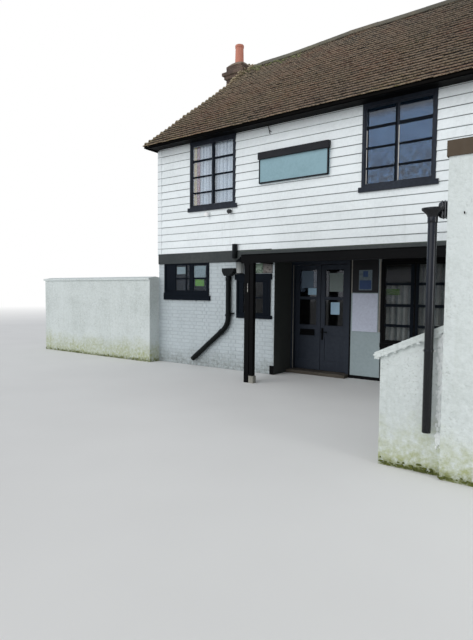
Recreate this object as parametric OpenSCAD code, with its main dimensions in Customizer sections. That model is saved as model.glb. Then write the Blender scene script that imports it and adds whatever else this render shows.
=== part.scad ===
// A two-storey weatherboarded inn: a hipped and tiled main block with a recessed, canopied
// entrance, and a low flat-roofed wing in white render beside it.
// Origin: on the ground, at the middle of the main block's depth. +X runs to the right along the
// front, +Y from the front to the back, +Z up. Millimetres.

/* [Main block] */
// Distance of the left end wall from the origin
left_end = 3300; // [3200:10:3500]
// Distance of the right end wall from the origin
right_end = 3550; // [3500:10:3900]
// Depth of the block from front face to back face
block_d = 4000; // [3800:50:4600]
// Thickness of the brick walls of the ground storey
brick_t = 250; // [215:5:330]
// Thickness of the framed and boarded upper walls
frame_t = 150; // [120:5:200]
// Height of the ground floor and of the doorstep
floor_h = 60; // [40:5:80]
// Thickness of the upper floor
upper_floor_t = 130; // [100:5:160]
// Underside of the beam that carries the boarded front
beam_h = 2110; // [2080:5:2150]
// Lower edge of the weatherboards
storey_h = 2280; // [2250:5:2330]
// Underside of the soffit
soffit_h = 4525; // [4500:5:4530]
// Lower edge of the fascia boards
fascia_h = 4495; // [4470:5:4500]

/* [Roof] */
// Height of the tile edge at the eaves
eaves_h = 4545; // [4535:5:4600]
// Height of the ridge line under the ridge tiles
ridge_h = 6690; // [6600:10:6800]
// Overhang of the front and back eaves
eaves_over = 330; // [300:5:380]
// Overhang of the eaves at the ends
end_over = 120; // [110:5:260]
// Distance along the ridge from the end eaves to the ridge end
hip_run = 1140; // [1100:10:1600]
// Depth of the roof, measured straight down
roof_t = 150; // [130:5:180]
// Depth of the tiles alone, measured straight down
tile_t = 40; // [30:2:50]
// Thickness of the fascia and soffit boards
board_t = 20; // [18:1:25]
// How far the tiles reach past the fascia
tile_lip = 30; // [20:5:40]
// Radius of the ridge tiles
ridge_r = 110; // [95:5:130]
// How far the ridge tiles rise above the ridge line
ridge_rise = 70; // [50:5:80]

/* [Chimney] */
// Width of the stack along the ridge
stack_w = 450; // [440:5:460]
// Depth of the stack across the ridge
stack_d = 400; // [380:5:420]
// Place of the stack's middle along the ridge
stack_x = -2665; // [-2680:5:-2660]
// Top of the brickwork
stack_h = 6800; // [6750:10:6950]
// Height of one brick course
course = 75; // [70:1:80]
// How far each oversailing course steps out
oversail = 38; // [25:1:45]
// Outer radius of the pot's barrel
pot_r = 94; // [80:2:120]
// Height of the pot above the brickwork
pot_h = 505; // [450:5:650]

/* [Upper windows] */
// Distance of each window's middle from the middle of the front
upper_cx = 1838; // [1800:2:1900]
// Width of the frames
upper_w = 1150; // [1100:10:1250]
// Top of the sills
upper_z = 3212; // [3150:2:3250]
// Top of the frames
upper_head = 4490; // [4450:5:4500]
// Width of the frames' jambs on the face
member = 42; // [35:1:60]
// Height of the frames' top and bottom rails
rail = 22; // [18:1:40]
// Width of the sash members inside the frames
sash = 28; // [20:1:40]
// Width of the mullions
mullion = 32; // [28:1:60]
// How far the sashes stand back from the frames' face
sash_back = 14; // [8:1:20]
// Depth of the frames from front to back
member_d = 100; // [80:5:120]
// How far the frames stand proud of the wall
proud = 25; // [22:1:35]
// How far the sills stand out from the wall
sill_out = 45; // [40:5:110]
// Depth of the sills on the face
sill_h = 77; // [60:1:90]

/* [Lower windows] */
// Left edge of the corner window
corner_x0 = -3130; // [-3150:5:-3100]
// Width of the corner window
corner_w = 1230; // [1200:10:1280]
// Bottom of the corner window
corner_z = 1490; // [1450:5:1520]
// Left edge of the small window by the porch
small_x0 = -1210; // [-1230:5:-1190]
// Width of the small window
small_w = 770; // [740:5:790]
// Bottom of the small window
small_z = 1080; // [1050:5:1100]
// Height of the small window
small_hh = 670; // [650:5:690]
// Height of the header board over the small window
header_h = 110; // [90:5:120]
// Left edge of the window in the recess
recess_x0 = 1420; // [1410:5:1480]
// Width of the window in the recess
recess_w = 1140; // [1080:5:1150]
// Bottom of the window in the recess
recess_z = 670; // [640:5:700]
// Top of the window in the recess
recess_top = 2050; // [2000:5:2080]

/* [Entrance] */
// Right end of the brick front, where the recess begins
porch_x = -360; // [-380:5:-340]
// Depth of the recess behind the front
recess_d = 600; // [550:10:650]
// Right edge of the door frame
door_x1 = 840; // [820:5:860]
// Width of the door jambs and head on the face
jamb = 60; // [50:5:70]
// Depth of the door frame
jamb_d = 110; // [100:5:120]
// Underside of the door frame's head
door_h = 2040; // [2000:5:2045]
// Thickness of the door leaves
leaf_t = 44; // [40:1:50]
// Gap between a leaf and the frame
leaf_gap = 6; // [6:1:8]
// Gap between the two leaves
meet_gap = 10; // [10:1:12]
// Radius of the hinge knuckles
knuckle_r = 7; // [6:0.5:8]
// Width of the leaves' stiles
stile = 82; // [70:2:95]
// Bottom of the leaves' glass
door_glass_z = 905; // [880:5:940]
// How far the doorstep reaches out in front of the doors
step_out = 170; // [150:5:250]

/* [Canopy] */
// How far the canopy beam stands out from the front
canopy_out = 955; // [900:5:1000]
// Left edge of the canopy beam
canopy_x0 = -430; // [-450:5:-400]
// Underside of the canopy beam
canopy_z = 2000; // [1980:5:2020]
// Top of the canopy roof at its front edge
canopy_front = 2205; // [2195:5:2215]
// Top of the canopy roof at the wall
canopy_back = 2270; // [2250:5:2280]
// Thickness of the canopy roof
canopy_t = 40; // [30:2:50]
// Width of the left-hand porch post
post_w = 94; // [80:2:120]
// Width of the right-hand porch post
near_post_w = 72; // [60:2:100]
// Gap between the two posts
post_gap = 12; // [8:1:20]
// Height of the block under the right-hand post
pad_h = 120; // [100:5:140]

/* [Wing] */
// Left face of the wing
wing_x = 3463; // [3440:1:3480]
// Length of the wing along the front
wing_w = 3600; // [3000:50:4200]
// How far the wing stands out in front of the main block
wing_out = 3550; // [3400:10:3700]
// Thickness of the wing's walls
wing_t = 300; // [250:5:330]
// Underside of the wing's roof
wing_h = 2602; // [2500:2:2620]
// Depth of the wing's roof and its fascia
wing_fascia_h = 125; // [110:5:150]
// Thickness of the wing's fascia
wing_board_t = 14; // [10:1:25]

/* [Yard walls] */
// Length of the short raking wall, to the wing
rake_len = 540; // [500:10:600]
// Height of the raking wall at its low end
rake_low = 1020; // [980:10:1060]
// Height of the raking wall at the wing
rake_high = 1270; // [1230:10:1300]
// Thickness of the raking wall
rake_t = 260; // [220:5:300]
// Depth of the copings
coping_t = 60; // [50:5:75]
// How far the copings stand out
coping_out = 30; // [20:5:40]
// Length of the yard wall at the left corner
yard_len = 3820; // [3000:20:4000]
// Height of the yard wall
yard_h = 1760; // [1700:10:1900]
// How far the yard wall stands out in front of the brick front
yard_out = 290; // [250:5:330]

/* [Sign and fittings] */
// Middle of the sign board
sign_cx = 6; // [-40:2:20]
// Length of the sign board
sign_w = 1390; // [1350:5:1480]
// Bottom of the sign board
sign_z = 3497; // [3460:1:3520]
// Height of the sign board
sign_hh = 450; // [420:5:470]
// Height of the dark hood over the sign board
hood_h = 108; // [90:2:170]
// Radius of the rainwater pipe
pipe_r = 36; // [30:1:40]
// Radius of the waste pipe
waste_r = 50; // [40:1:55]

/* [Hidden] */
$fn = 48;

front_y = -block_d / 2;
back_y = block_d / 2;
upper_soffit = soffit_h + board_t;
edge_y = block_d / 2 + eaves_over;
edge_x0 = -left_end - end_over;
edge_x1 = right_end + end_over;
ridge_x0 = edge_x0 + hip_run;
ridge_x1 = edge_x1 - hip_run;
pitch = (ridge_h - eaves_h) / edge_y;
end_lip = round(tile_lip * hip_run / edge_y);
end_board = round(board_t * hip_run / edge_y);
hair = 0.3;
recess_y = front_y + recess_d;
room_y = recess_y + brick_t;
ceiling_h = storey_h - upper_floor_t;
leaf_y = recess_y + jamb_d;
door_x0 = porch_x;
clear_x0 = door_x0 + jamb;
clear_x1 = door_x1 - jamb;
leaf_w = (clear_x1 - clear_x0 - 2 * leaf_gap - meet_gap) / 2;
leaf_z0 = floor_h + 8;
leaf_z1 = door_h - 8;
canopy_y = front_y - canopy_out;
glass_y = 8 - proud + sash_back;
middle_x = 6;
wing_y0 = front_y - wing_out;
wing_x1 = wing_x + wing_w;
white = [0.88, 0.89, 0.88];
black = [0.09, 0.09, 0.10];
tile_brown = [0.37, 0.30, 0.24];
tall = 12000;

// A block between two corners
module block(x0, x1, y0, y1, z0, z1)
  translate([x0, y0, z0]) cube([x1 - x0, y1 - y0, z1 - z0]);

// An outline in Y and Z, carried along X
module along_x(x0, x1)
  translate([x0, 0, 0]) rotate([90, 0, 90]) linear_extrude(x1 - x0) children();

// An outline in X and Z, carried along Y
module along_y(y0, y1)
  translate([0, y1, 0]) rotate([90, 0, 0]) linear_extrude(y1 - y0) children();

// All that lies under the four slopes, lowered by the given depth
module under_roof(drop) {
  e = eaves_h - drop;
  r = ridge_h - drop;
  intersection() {
    along_x(edge_x0, edge_x1)
      polygon([[-edge_y, 0], [edge_y, 0], [edge_y, e], [0, r], [-edge_y, e]]);
    along_y(-edge_y, edge_y)
      polygon([[edge_x0, 0], [edge_x1, 0], [edge_x1, e], [ridge_x1, r], [ridge_x0, r], [edge_x0, e]]);
  }
}

// Plan of the space inside the fascia boards
module inside_fascia()
  block(edge_x0 + end_lip + end_board, edge_x1 - end_lip - end_board,
        -edge_y + tile_lip + board_t, edge_y - tile_lip - board_t, upper_soffit, tall);

// The whole roof covering: the tiles out to the eaves, and the rafters behind the fascia
module roof_shell() {
  difference() {
    under_roof(0);
    under_roof(tile_t);
  }
  intersection() {
    difference() {
      under_roof(tile_t);
      under_roof(roof_t);
    }
    inside_fascia();
  }
}

// One slope of the roof, cut out of the shell by its plan
module slope(plan)
  color(tile_brown) difference() {
    intersection() {
      roof_shell();
      linear_extrude(tall) polygon(plan);
    }
    stack();
  }

module roof_front()
  slope([[edge_x0, -edge_y], [edge_x1, -edge_y], [ridge_x1, 0], [ridge_x0, 0]]);

module roof_back()
  slope([[ridge_x0, 0], [ridge_x1, 0], [edge_x1, edge_y], [edge_x0, edge_y]]);

module roof_left() slope([[edge_x0, -edge_y], [ridge_x0, 0], [edge_x0, edge_y]]);

module roof_right() slope([[edge_x1, -edge_y], [edge_x1, edge_y], [ridge_x1, 0]]);

module ridge_tiles()
  color([0.36, 0.31, 0.27]) difference() {
    translate([ridge_x0, 0, ridge_h + ridge_rise - ridge_r]) rotate([0, 90, 0])
      cylinder(h = ridge_x1 - ridge_x0, r = ridge_r);
    under_roof(0);
    stack();
  }

// Fascia and soffit boards along the front and the back
module eaves_long()
  color(black) for (side = [-1, 1]) {
    y_out = side * (edge_y - tile_lip);
    y_in = side * (edge_y - tile_lip - board_t);
    y_wall = side * block_d / 2;
    x0 = edge_x0 + end_lip;
    x1 = edge_x1 - end_lip;
    intersection() {
      block(x0, x1, min(y_out, y_in), max(y_out, y_in), fascia_h, eaves_h + 60);
      under_roof(tile_t);
    }
    block(x0 + end_board, x1 - end_board, min(y_in, y_wall), max(y_in, y_wall), soffit_h, upper_soffit);
  }

// Fascia and soffit boards on the two ends, between the long ones
module eaves_ends()
  color(black) for (s = [0, 1]) {
    x_out = s == 0 ? edge_x0 + end_lip : edge_x1 - end_lip;
    x_in = s == 0 ? x_out + end_board : x_out - end_board;
    x_wall = s == 0 ? -left_end - hair : right_end + hair;
    y = edge_y - tile_lip - board_t;
    intersection() {
      block(min(x_out, x_in), max(x_out, x_in), -y, y, fascia_h, eaves_h + 60);
      under_roof(tile_t + hair);
    }
    block(min(x_in, x_wall), max(x_in, x_wall), -block_d / 2, block_d / 2, soffit_h, upper_soffit);
  }

// Window openings of the upper storey in a front or back wall
module upper_openings(y0, y1)
  for (side = [-1, 1])
    block(side * upper_cx + middle_x - upper_w / 2, side * upper_cx + middle_x + upper_w / 2,
          y0, y1, upper_z, soffit_h);

module front_wall_upper()
  color(white) intersection() {
    difference() {
      block(-left_end, right_end, front_y, front_y + frame_t, storey_h, tall);
      upper_openings(front_y - 10, front_y + frame_t + 10);
    }
    under_roof(roof_t);
  }

module back_wall_upper()
  color(white) intersection() {
    difference() {
      block(-left_end, right_end, back_y - frame_t, back_y, storey_h, tall);
      mirror([1, 0, 0]) upper_openings(back_y - frame_t - 10, back_y + 10);
    }
    under_roof(roof_t);
  }

module end_wall_upper(x0, x1)
  color(white) intersection() {
    block(x0, x1, front_y + frame_t, back_y - frame_t, storey_h, tall);
    under_roof(roof_t);
  }

module left_wall_upper() end_wall_upper(-left_end, -left_end + frame_t);

module right_wall_upper() end_wall_upper(right_end - frame_t, right_end);

module ground_floor()
  color([0.45, 0.40, 0.35]) {
    difference() {
      linear_extrude(floor_h) polygon([
        [-left_end + brick_t, front_y + brick_t], [porch_x - brick_t, front_y + brick_t],
        [porch_x - brick_t, room_y], [right_end - brick_t, room_y],
        [right_end - brick_t, back_y - brick_t], [-left_end + brick_t, back_y - brick_t]]);
      stack_shaft();
    }
    linear_extrude(floor_h) polygon([
      [wing_x + wing_t, wing_y0 + wing_t], [wing_x1 - wing_t, wing_y0 + wing_t],
      [wing_x1 - wing_t, back_y - wing_t], [right_end, back_y - wing_t],
      [right_end, front_y], [wing_x + wing_t, front_y]]);
  }

module upper_floor()
  color([0.45, 0.36, 0.27]) difference() {
    block(-left_end + brick_t, right_end - brick_t, front_y + brick_t, back_y - brick_t,
          ceiling_h, storey_h);
    stack_shaft();
  }

module front_wall_lower()
  color(white) difference() {
    block(-left_end, porch_x, front_y, front_y + brick_t, 0, beam_h);
    block(corner_x0, corner_x0 + corner_w, front_y - 10, front_y + brick_t + 10, corner_z, tall);
    block(small_x0, small_x0 + small_w, front_y - 10, front_y + brick_t + 10,
          small_z, small_z + small_hh);
  }

module recess_side_wall()
  color(black) block(porch_x - brick_t, porch_x, front_y + brick_t, room_y, 0, ceiling_h);

module recess_back_wall()
  color(black) difference() {
    block(door_x1, right_end - brick_t, recess_y, room_y, 0, ceiling_h);
    block(recess_x0, recess_x0 + recess_w, recess_y - 10, room_y + 10, recess_z, recess_top);
  }

module door_lintel()
  color(black) block(door_x0, door_x1, recess_y, room_y, door_h + jamb, ceiling_h);

module left_wall_lower()
  color(white) block(-left_end, -left_end + brick_t, front_y + brick_t, back_y, 0, storey_h);

module right_wall_lower()
  color(white) along_x(right_end - brick_t, right_end)
    polygon([[front_y, 0], [back_y, 0], [back_y, storey_h], [front_y + brick_t, storey_h],
             [front_y + brick_t, beam_h], [front_y, beam_h]]);

module back_wall_lower()
  color(white) difference() {
    block(-left_end + brick_t, right_end - brick_t, back_y - brick_t, back_y, 0, storey_h);
    for (s = [-1, 1])
      block(s * upper_cx - corner_w / 2, s * upper_cx + corner_w / 2,
            back_y - brick_t - 10, back_y + 10, corner_z, beam_h);
  }

module front_beam()
  color(black) block(-left_end, right_end, front_y, front_y + brick_t, beam_h, storey_h);

// The stack's plain shaft, from the ground to the top of its brickwork
module stack_shaft()
  block(stack_x - stack_w / 2, stack_x + stack_w / 2, -stack_d / 2, stack_d / 2, 0, stack_h);

// The whole stack, with its two oversailing courses
module stack() {
  stack_shaft();
  for (i = [1, 2]) {
    step = oversail * i;
    z = stack_h - course * (5 - i);
    block(stack_x - stack_w / 2 - step, stack_x + stack_w / 2 + step,
          -stack_d / 2 - step, stack_d / 2 + step, z, z + course);
  }
}

module chimney_stack() color([0.30, 0.26, 0.24]) stack();

module chimney_pot()
  color([0.72, 0.40, 0.28]) translate([stack_x, 0, stack_h]) rotate_extrude()
    polygon([
      [pot_r - 22, 0], [170, 0], [150, 45], [pot_r + 12, 85], [pot_r + 8, 110],
      [pot_r, pot_h - 62], [pot_r + 8, pot_h - 55], [pot_r + 10, pot_h - 16],
      [pot_r + 5, pot_h], [pot_r - 15, pot_h], [pot_r - 22, pot_h - 30]]);

// The lights of a window between y0 and y1: the openings inside its sash members
module window_lights(x0, w, y0, y1, z0, z1) {
  first = x0 + member + sash;
  step = (w - 2 * (member + sash) + mullion) / 2;
  for (i = [0, 1])
    block(first + step * i, first + step * (i + 1) - mullion, y0, y1, z0 + rail + sash, z1 - rail - sash);
}

// A window's frame, with its sash members set back in it. It stands proud of a wall face at y = 0.
module window_frame(x0, w, z0, z1)
  color(black) difference() {
    block(x0, x0 + w, -proud, member_d - proud, z0, z1);
    block(x0 + member, x0 + w - member, -proud - 10, sash_back - proud, z0 + rail, z1 - rail);
    window_lights(x0, w, -proud - 10, member_d, z0, z1);
  }

// A sill under a frame, reaching past it by a horn at each end
module window_sill(x0, w, z0, horn, height)
  color(black) block(x0 - horn, x0 + w + horn, -sill_out, 0, z0 - height, z0);

// The panes of a window
module window_glass(x0, w, z0, z1)
  color([0.55, 0.62, 0.68, 0.5]) window_lights(x0, w, glass_y, glass_y + 6, z0, z1);

// Places a window in the front wall, or turned round in the back wall
module in_front() translate([0, front_y, 0]) children();

module in_back() translate([0, back_y, 0]) rotate([0, 0, 180]) children();

// An upper window: frame, sill, and the board between the frame and the soffit
module upper_window(side) {
  x0 = side * upper_cx + middle_x - upper_w / 2;
  window_frame(x0, upper_w, upper_z, upper_head);
  color(black) block(x0, x0 + upper_w, -proud, member_d - proud, upper_head, soffit_h);
  window_sill(x0, upper_w, upper_z, 45, sill_h);
}

module windows_upper()
  for (side = [-1, 1]) {
    in_front() upper_window(side);
    in_back() upper_window(side);
  }

module upper_glass(side)
  window_glass(side * upper_cx + middle_x - upper_w / 2, upper_w, upper_z, upper_head);

module glass_upper()
  for (side = [-1, 1]) {
    in_front() upper_glass(side);
    in_back() upper_glass(side);
  }

// The wing's window stands in the middle of its front
wing_win_x0 = wing_x + wing_w / 2 - corner_w / 2;

// Left edges of the lower windows at the back, as seen from behind
back_win_x0 = [-upper_cx - corner_w / 2, upper_cx - corner_w / 2];

module low_window(x0) {
  window_frame(x0, corner_w, corner_z, beam_h);
  window_sill(x0, corner_w, corner_z, 0, sill_h - 12);
}

module windows_lower() {
  in_front() {
    low_window(corner_x0);
    window_frame(small_x0, small_w, small_z, small_z + small_hh);
    color(black) block(small_x0 - 40, small_x0 + small_w + 30, -proud, 0,
                       small_z + small_hh, small_z + small_hh + header_h);
  }
  in_back() for (x = back_win_x0) low_window(x);
  translate([0, wing_y0, 0]) low_window(wing_win_x0);
}

module glass_lower() {
  in_front() {
    window_glass(corner_x0, corner_w, corner_z, beam_h);
    window_glass(small_x0, small_w, small_z, small_z + small_hh);
  }
  in_back() for (x = back_win_x0) window_glass(x, corner_w, corner_z, beam_h);
  translate([0, wing_y0, 0]) window_glass(wing_win_x0, corner_w, corner_z, beam_h);
  translate([0, recess_y, 0]) window_glass(recess_x0, recess_w, recess_z, recess_top);
}

module window_recess()
  translate([0, recess_y, 0]) {
    window_frame(recess_x0, recess_w, recess_z, recess_top);
    window_sill(recess_x0, recess_w, recess_z, 0, sill_h);
  }

module door_frame()
  color(black) difference() {
    block(door_x0, door_x1, recess_y, leaf_y, floor_h, door_h + jamb);
    block(clear_x0, clear_x1, recess_y - 10, leaf_y + 10, floor_h - 10, door_h);
  }

module doorstep()
  color([0.42, 0.42, 0.40]) block(door_x0, door_x1, recess_y - step_out, room_y, 0, floor_h);

// A door leaf, its hinge edge at x = 0 and its other edge at x = leaf_w
module leaf()
  color([0.17, 0.20, 0.25]) {
    difference() {
      block(0, leaf_w, leaf_y - leaf_t, leaf_y, leaf_z0, leaf_z1);
      block(stile, leaf_w - stile, leaf_y - leaf_t - 1, leaf_y + 1, door_glass_z, leaf_z1 - stile);
      for (y = [leaf_y - leaf_t - 1, leaf_y - 10])
        block(stile, leaf_w - stile, y, y + 11, leaf_z0 + 180, door_glass_z - 210);
    }
    for (z = [leaf_z0 + 200, (leaf_z0 + leaf_z1) / 2, leaf_z1 - 200])
      translate([knuckle_r + 1, leaf_y, z - 50]) cylinder(h = 100, r = knuckle_r);
  }

module leaf_glass()
  color([0.30, 0.34, 0.38, 0.6])
    block(stile, leaf_w - stile, leaf_y - leaf_t / 2 - 3, leaf_y - leaf_t / 2 + 3,
          door_glass_z, leaf_z1 - stile);

module at_left_leaf() translate([clear_x0 + leaf_gap, 0, 0]) children();

module at_right_leaf() translate([clear_x1 - leaf_gap, 0, 0]) mirror([1, 0, 0]) children();

module door_leaf_left() at_left_leaf() leaf();

module door_leaf_right() at_right_leaf() leaf();

module door_glass_left() at_left_leaf() leaf_glass();

module door_glass_right() at_right_leaf() leaf_glass();

module letter_plate()
  color([0.08, 0.08, 0.09]) at_left_leaf()
    block(leaf_w / 2 - 150, leaf_w / 2 + 150, leaf_y - leaf_t - 12, leaf_y - leaf_t,
          door_glass_z - 150, door_glass_z - 75);

module door_handle()
  color([0.08, 0.08, 0.09]) at_right_leaf() {
    block(leaf_w - 60, leaf_w - 20, leaf_y - leaf_t - 8, leaf_y - leaf_t, 640, 860);
    translate([leaf_w - 40, leaf_y - leaf_t, 790]) rotate([90, 0, 0]) cylinder(h = 45, r = 9);
    block(leaf_w - 150, leaf_w - 31, leaf_y - leaf_t - 58, leaf_y - leaf_t - 42, 781, 799);
  }

// Height of the canopy roof's underside at a distance out from the wall, less a hair's gap
function canopy_under(out) =
  canopy_back + (canopy_front - canopy_back) * out / (canopy_out + 15) - canopy_t - hair;

module canopy_roof()
  color([0.30, 0.33, 0.31]) along_x(canopy_x0 - 10, wing_x)
    polygon([[front_y, canopy_back], [front_y, canopy_back - canopy_t],
             [canopy_y - 15, canopy_front - canopy_t], [canopy_y - 15, canopy_front]]);

module canopy_beam()
  color(black) {
    along_x(canopy_x0, wing_x)
      polygon([[canopy_y, canopy_z], [canopy_y + 100, canopy_z],
               [canopy_y + 100, canopy_under(canopy_out - 100)], [canopy_y, canopy_under(canopy_out)]]);
    along_x(canopy_x0, canopy_x0 + 40)
      polygon([[canopy_y + 50, canopy_z + 30], [front_y, canopy_z + 30],
               [front_y, canopy_under(0)], [canopy_y + 50, canopy_under(canopy_out - 50)]]);
  }

post_x0 = canopy_x0 + 74;
post_x1 = post_x0 + post_w + post_gap;

module porch_posts()
  color(black) {
    block(post_x0, post_x0 + post_w, canopy_y, canopy_y + post_w, 0, canopy_z);
    block(post_x1, post_x1 + near_post_w, canopy_y, canopy_y + near_post_w, pad_h, canopy_z);
  }

module post_block()
  color([0.60, 0.60, 0.56]) block(post_x1 - 2, post_x1 + near_post_w + 15, canopy_y - 8,
                                  canopy_y + near_post_w + 15, 0, pad_h);

module notice_panel()
  color([0.75, 0.76, 0.80]) {
    block(door_x1 + 40, recess_x0 - 5, recess_y - 18, recess_y, floor_h, ceiling_h - 40);
    block(door_x1 + 65, recess_x0 - 42, recess_y - 32, recess_y - 18, 840, 1520);
  }

module sign_board()
  color([0.62, 0.74, 0.74]) {
    block(sign_cx - sign_w / 2, sign_cx + sign_w / 2, front_y - 60, front_y, sign_z, sign_z + sign_hh);
    color(black) along_x(sign_cx - sign_w / 2 - 12, sign_cx + sign_w / 2 + 12)
      polygon([[front_y, sign_z + sign_hh], [front_y - 80, sign_z + sign_hh],
               [front_y - 95, sign_z + sign_hh + hood_h - 30], [front_y, sign_z + sign_hh + hood_h]]);
  }

module wing_left_wall()
  color(white) block(wing_x, wing_x + wing_t, wing_y0, front_y, 0, wing_h);

module wing_front_wall()
  color(white) difference() {
    block(wing_x + wing_t, wing_x1, wing_y0, wing_y0 + wing_t, 0, wing_h);
    block(wing_win_x0, wing_win_x0 + corner_w, wing_y0 - 10, wing_y0 + wing_t + 10, corner_z, beam_h);
  }

module wing_right_wall()
  color(white) block(wing_x1 - wing_t, wing_x1, wing_y0 + wing_t, back_y, 0, wing_h);

module wing_back_wall()
  color(white) block(right_end, wing_x1 - wing_t, back_y - wing_t, back_y, 0, wing_h);

// Plan of the wing's roof, grown by the given amount on its free sides
module wing_plan(grow)
  polygon([[wing_x - grow, wing_y0 - grow], [wing_x1 + grow, wing_y0 - grow],
           [wing_x1 + grow, back_y + grow], [right_end, back_y + grow],
           [right_end, front_y], [wing_x - grow, front_y]]);

module wing_roof()
  color([0.38, 0.38, 0.37]) translate([0, 0, wing_h]) linear_extrude(wing_fascia_h) wing_plan(0);

module wing_fascia()
  color([0.36, 0.27, 0.22]) translate([0, 0, wing_h]) linear_extrude(wing_fascia_h) difference() {
    wing_plan(wing_board_t);
    wing_plan(0);
  }

rake_y0 = wing_y0 + 70;
rake_x0 = wing_x - rake_len;
rake_slope = (rake_high - rake_low) / rake_len;

module raking_wall()
  color(white) {
    along_y(rake_y0, rake_y0 + rake_t)
      polygon([[rake_x0, 0], [wing_x, 0], [wing_x, rake_high - coping_t], [rake_x0, rake_low - coping_t]]);
    along_y(rake_y0 - coping_out, rake_y0 + rake_t + coping_out)
      polygon([[rake_x0 - 45, rake_low - 45 * rake_slope - coping_t], [wing_x, rake_high - coping_t],
               [wing_x, rake_high], [rake_x0 - 45, rake_low - 45 * rake_slope]]);
  }

module yard_wall()
  color(white) {
    block(-left_end - yard_len, -left_end, front_y - yard_out, front_y + 60, 0, yard_h);
    along_x(-left_end - yard_len - coping_out, -left_end)
      polygon([[front_y - yard_out - coping_out, yard_h], [front_y + 60 + coping_out, yard_h],
               [front_y + 60 + coping_out, yard_h + 40], [front_y - yard_out / 2 + 30, yard_h + 75],
               [front_y - yard_out - coping_out, yard_h + 40]]);
  }

// The wing's rainwater pipe: hopper, outlet from the roof, pipe and clip
pipe_x = wing_x - 106;
pipe_y = wing_y0 - 20;
pipe_top = 2133;

module rainwater_pipe()
  color(black) {
    translate([pipe_x, pipe_y, 377]) cylinder(h = pipe_top - 377, r = pipe_r);
    along_y(pipe_y - 60, pipe_y + 60)
      polygon([[pipe_x - 72, pipe_top + 105], [pipe_x - 72, pipe_top + 75], [pipe_x - 42, pipe_top - 20],
               [pipe_x + 42, pipe_top - 20], [pipe_x + 66, pipe_top + 75], [pipe_x + 66, pipe_top + 105]]);
    block(pipe_x + 40, wing_x, pipe_y + 22, pipe_y + 90, pipe_top - 22, pipe_top + 102);
    block(pipe_x - pipe_r - 18, pipe_x + pipe_r + 18, pipe_y, rake_y0, 1040, 1070);
  }

// The waste pipe on the brick front: stub, hopper, upright pipe and raking foot
waste_x = -1372;
waste_y = front_y - waste_r - 12;

module waste_pipe()
  color(black) {
    translate([-1230, front_y - 47, 2230]) cylinder(h = 210, r = 32);
    translate([-1230, front_y - 82, 2440]) rotate([-90, 0, 0]) cylinder(h = 82, r = 35);
    along_y(waste_y - 70, front_y)
      polygon([[waste_x - 110, 1972], [waste_x - 110, 1905], [waste_x - 58, 1820],
               [waste_x + 58, 1820], [waste_x + 168, 1905], [waste_x + 168, 1972]]);
    translate([waste_x, waste_y, 1030]) cylinder(h = 810, r = waste_r);
    translate([waste_x, waste_y, 1000]) cylinder(h = 130, r = waste_r + 10);
    translate([waste_x, waste_y, 1050]) rotate([0, -135, 0]) cylinder(h = 1290, r = waste_r - 2);
    block(waste_x - 72, waste_x + 72, waste_y, front_y, 1330, 1365);
  }

// Two small spot lamps under the left upper window
module spot_lamps()
  color([0.75, 0.76, 0.76]) for (x = [-2006, -1413]) {
    translate([x, front_y, 3072]) rotate([90, 0, 0]) cylinder(h = 20, r = 32);
    translate([x, front_y - 15, 3072]) rotate([115, 0, 0]) cylinder(h = 90, r1 = 20, r2 = 45);
  }

ground_floor();
front_wall_lower();
recess_side_wall();
recess_back_wall();
door_lintel();
left_wall_lower();
right_wall_lower();
back_wall_lower();
front_beam();
upper_floor();
front_wall_upper();
back_wall_upper();
left_wall_upper();
right_wall_upper();
eaves_long();
eaves_ends();
roof_front();
roof_back();
roof_left();
roof_right();
ridge_tiles();
chimney_stack();
chimney_pot();
windows_upper();
windows_lower();
window_recess();
glass_upper();
glass_lower();
door_frame();
doorstep();
door_leaf_left();
door_leaf_right();
door_glass_left();
door_glass_right();
letter_plate();
door_handle();
canopy_roof();
canopy_beam();
porch_posts();
post_block();
notice_panel();
sign_board();
wing_front_wall();
wing_left_wall();
wing_right_wall();
wing_back_wall();
wing_roof();
wing_fascia();
raking_wall();
yard_wall();
rainwater_pipe();
waste_pipe();
spot_lamps();
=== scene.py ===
"""The finish of a weatherboarded inn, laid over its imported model.

Each operator makes one piece, or a group of like pieces. Lengths are metres in the model's own
frame: +X runs to the right along the front, +Y from the front to the back and +Z up.
"""

import math
import random

import bpy
import numpy as np
from bpy.props import FloatProperty, FloatVectorProperty, IntProperty, PointerProperty
from mathutils import Matrix, Vector


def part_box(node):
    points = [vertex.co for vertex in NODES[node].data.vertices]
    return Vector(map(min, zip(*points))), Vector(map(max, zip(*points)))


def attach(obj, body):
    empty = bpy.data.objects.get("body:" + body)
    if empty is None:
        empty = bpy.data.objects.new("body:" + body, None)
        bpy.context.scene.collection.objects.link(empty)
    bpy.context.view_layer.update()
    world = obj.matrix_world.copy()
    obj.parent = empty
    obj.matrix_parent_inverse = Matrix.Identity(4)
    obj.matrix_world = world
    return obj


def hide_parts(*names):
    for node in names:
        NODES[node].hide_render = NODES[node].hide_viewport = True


bl_info = {
    "name": "Weatherboarded inn",
    "version": (1, 0, 0),
    "blender": (4, 5, 0),
    "location": "View3D > Sidebar > Inn",
    "description": "Boards, tiles, bricks, joinery and finishes of a weatherboarded inn",
    "category": "Add Mesh",
}

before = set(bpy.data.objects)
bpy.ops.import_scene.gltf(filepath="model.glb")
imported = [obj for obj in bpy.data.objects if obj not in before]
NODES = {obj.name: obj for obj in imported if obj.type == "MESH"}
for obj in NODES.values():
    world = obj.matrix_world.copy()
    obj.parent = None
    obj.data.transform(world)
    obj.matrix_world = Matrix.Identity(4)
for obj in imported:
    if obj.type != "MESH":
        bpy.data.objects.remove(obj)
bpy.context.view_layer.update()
HOUSE = "house"


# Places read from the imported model

def low(node):
    """The lowest corner of a node"""
    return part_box(node)[0]


def high(node):
    """The highest corner of a node"""
    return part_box(node)[1]


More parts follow.
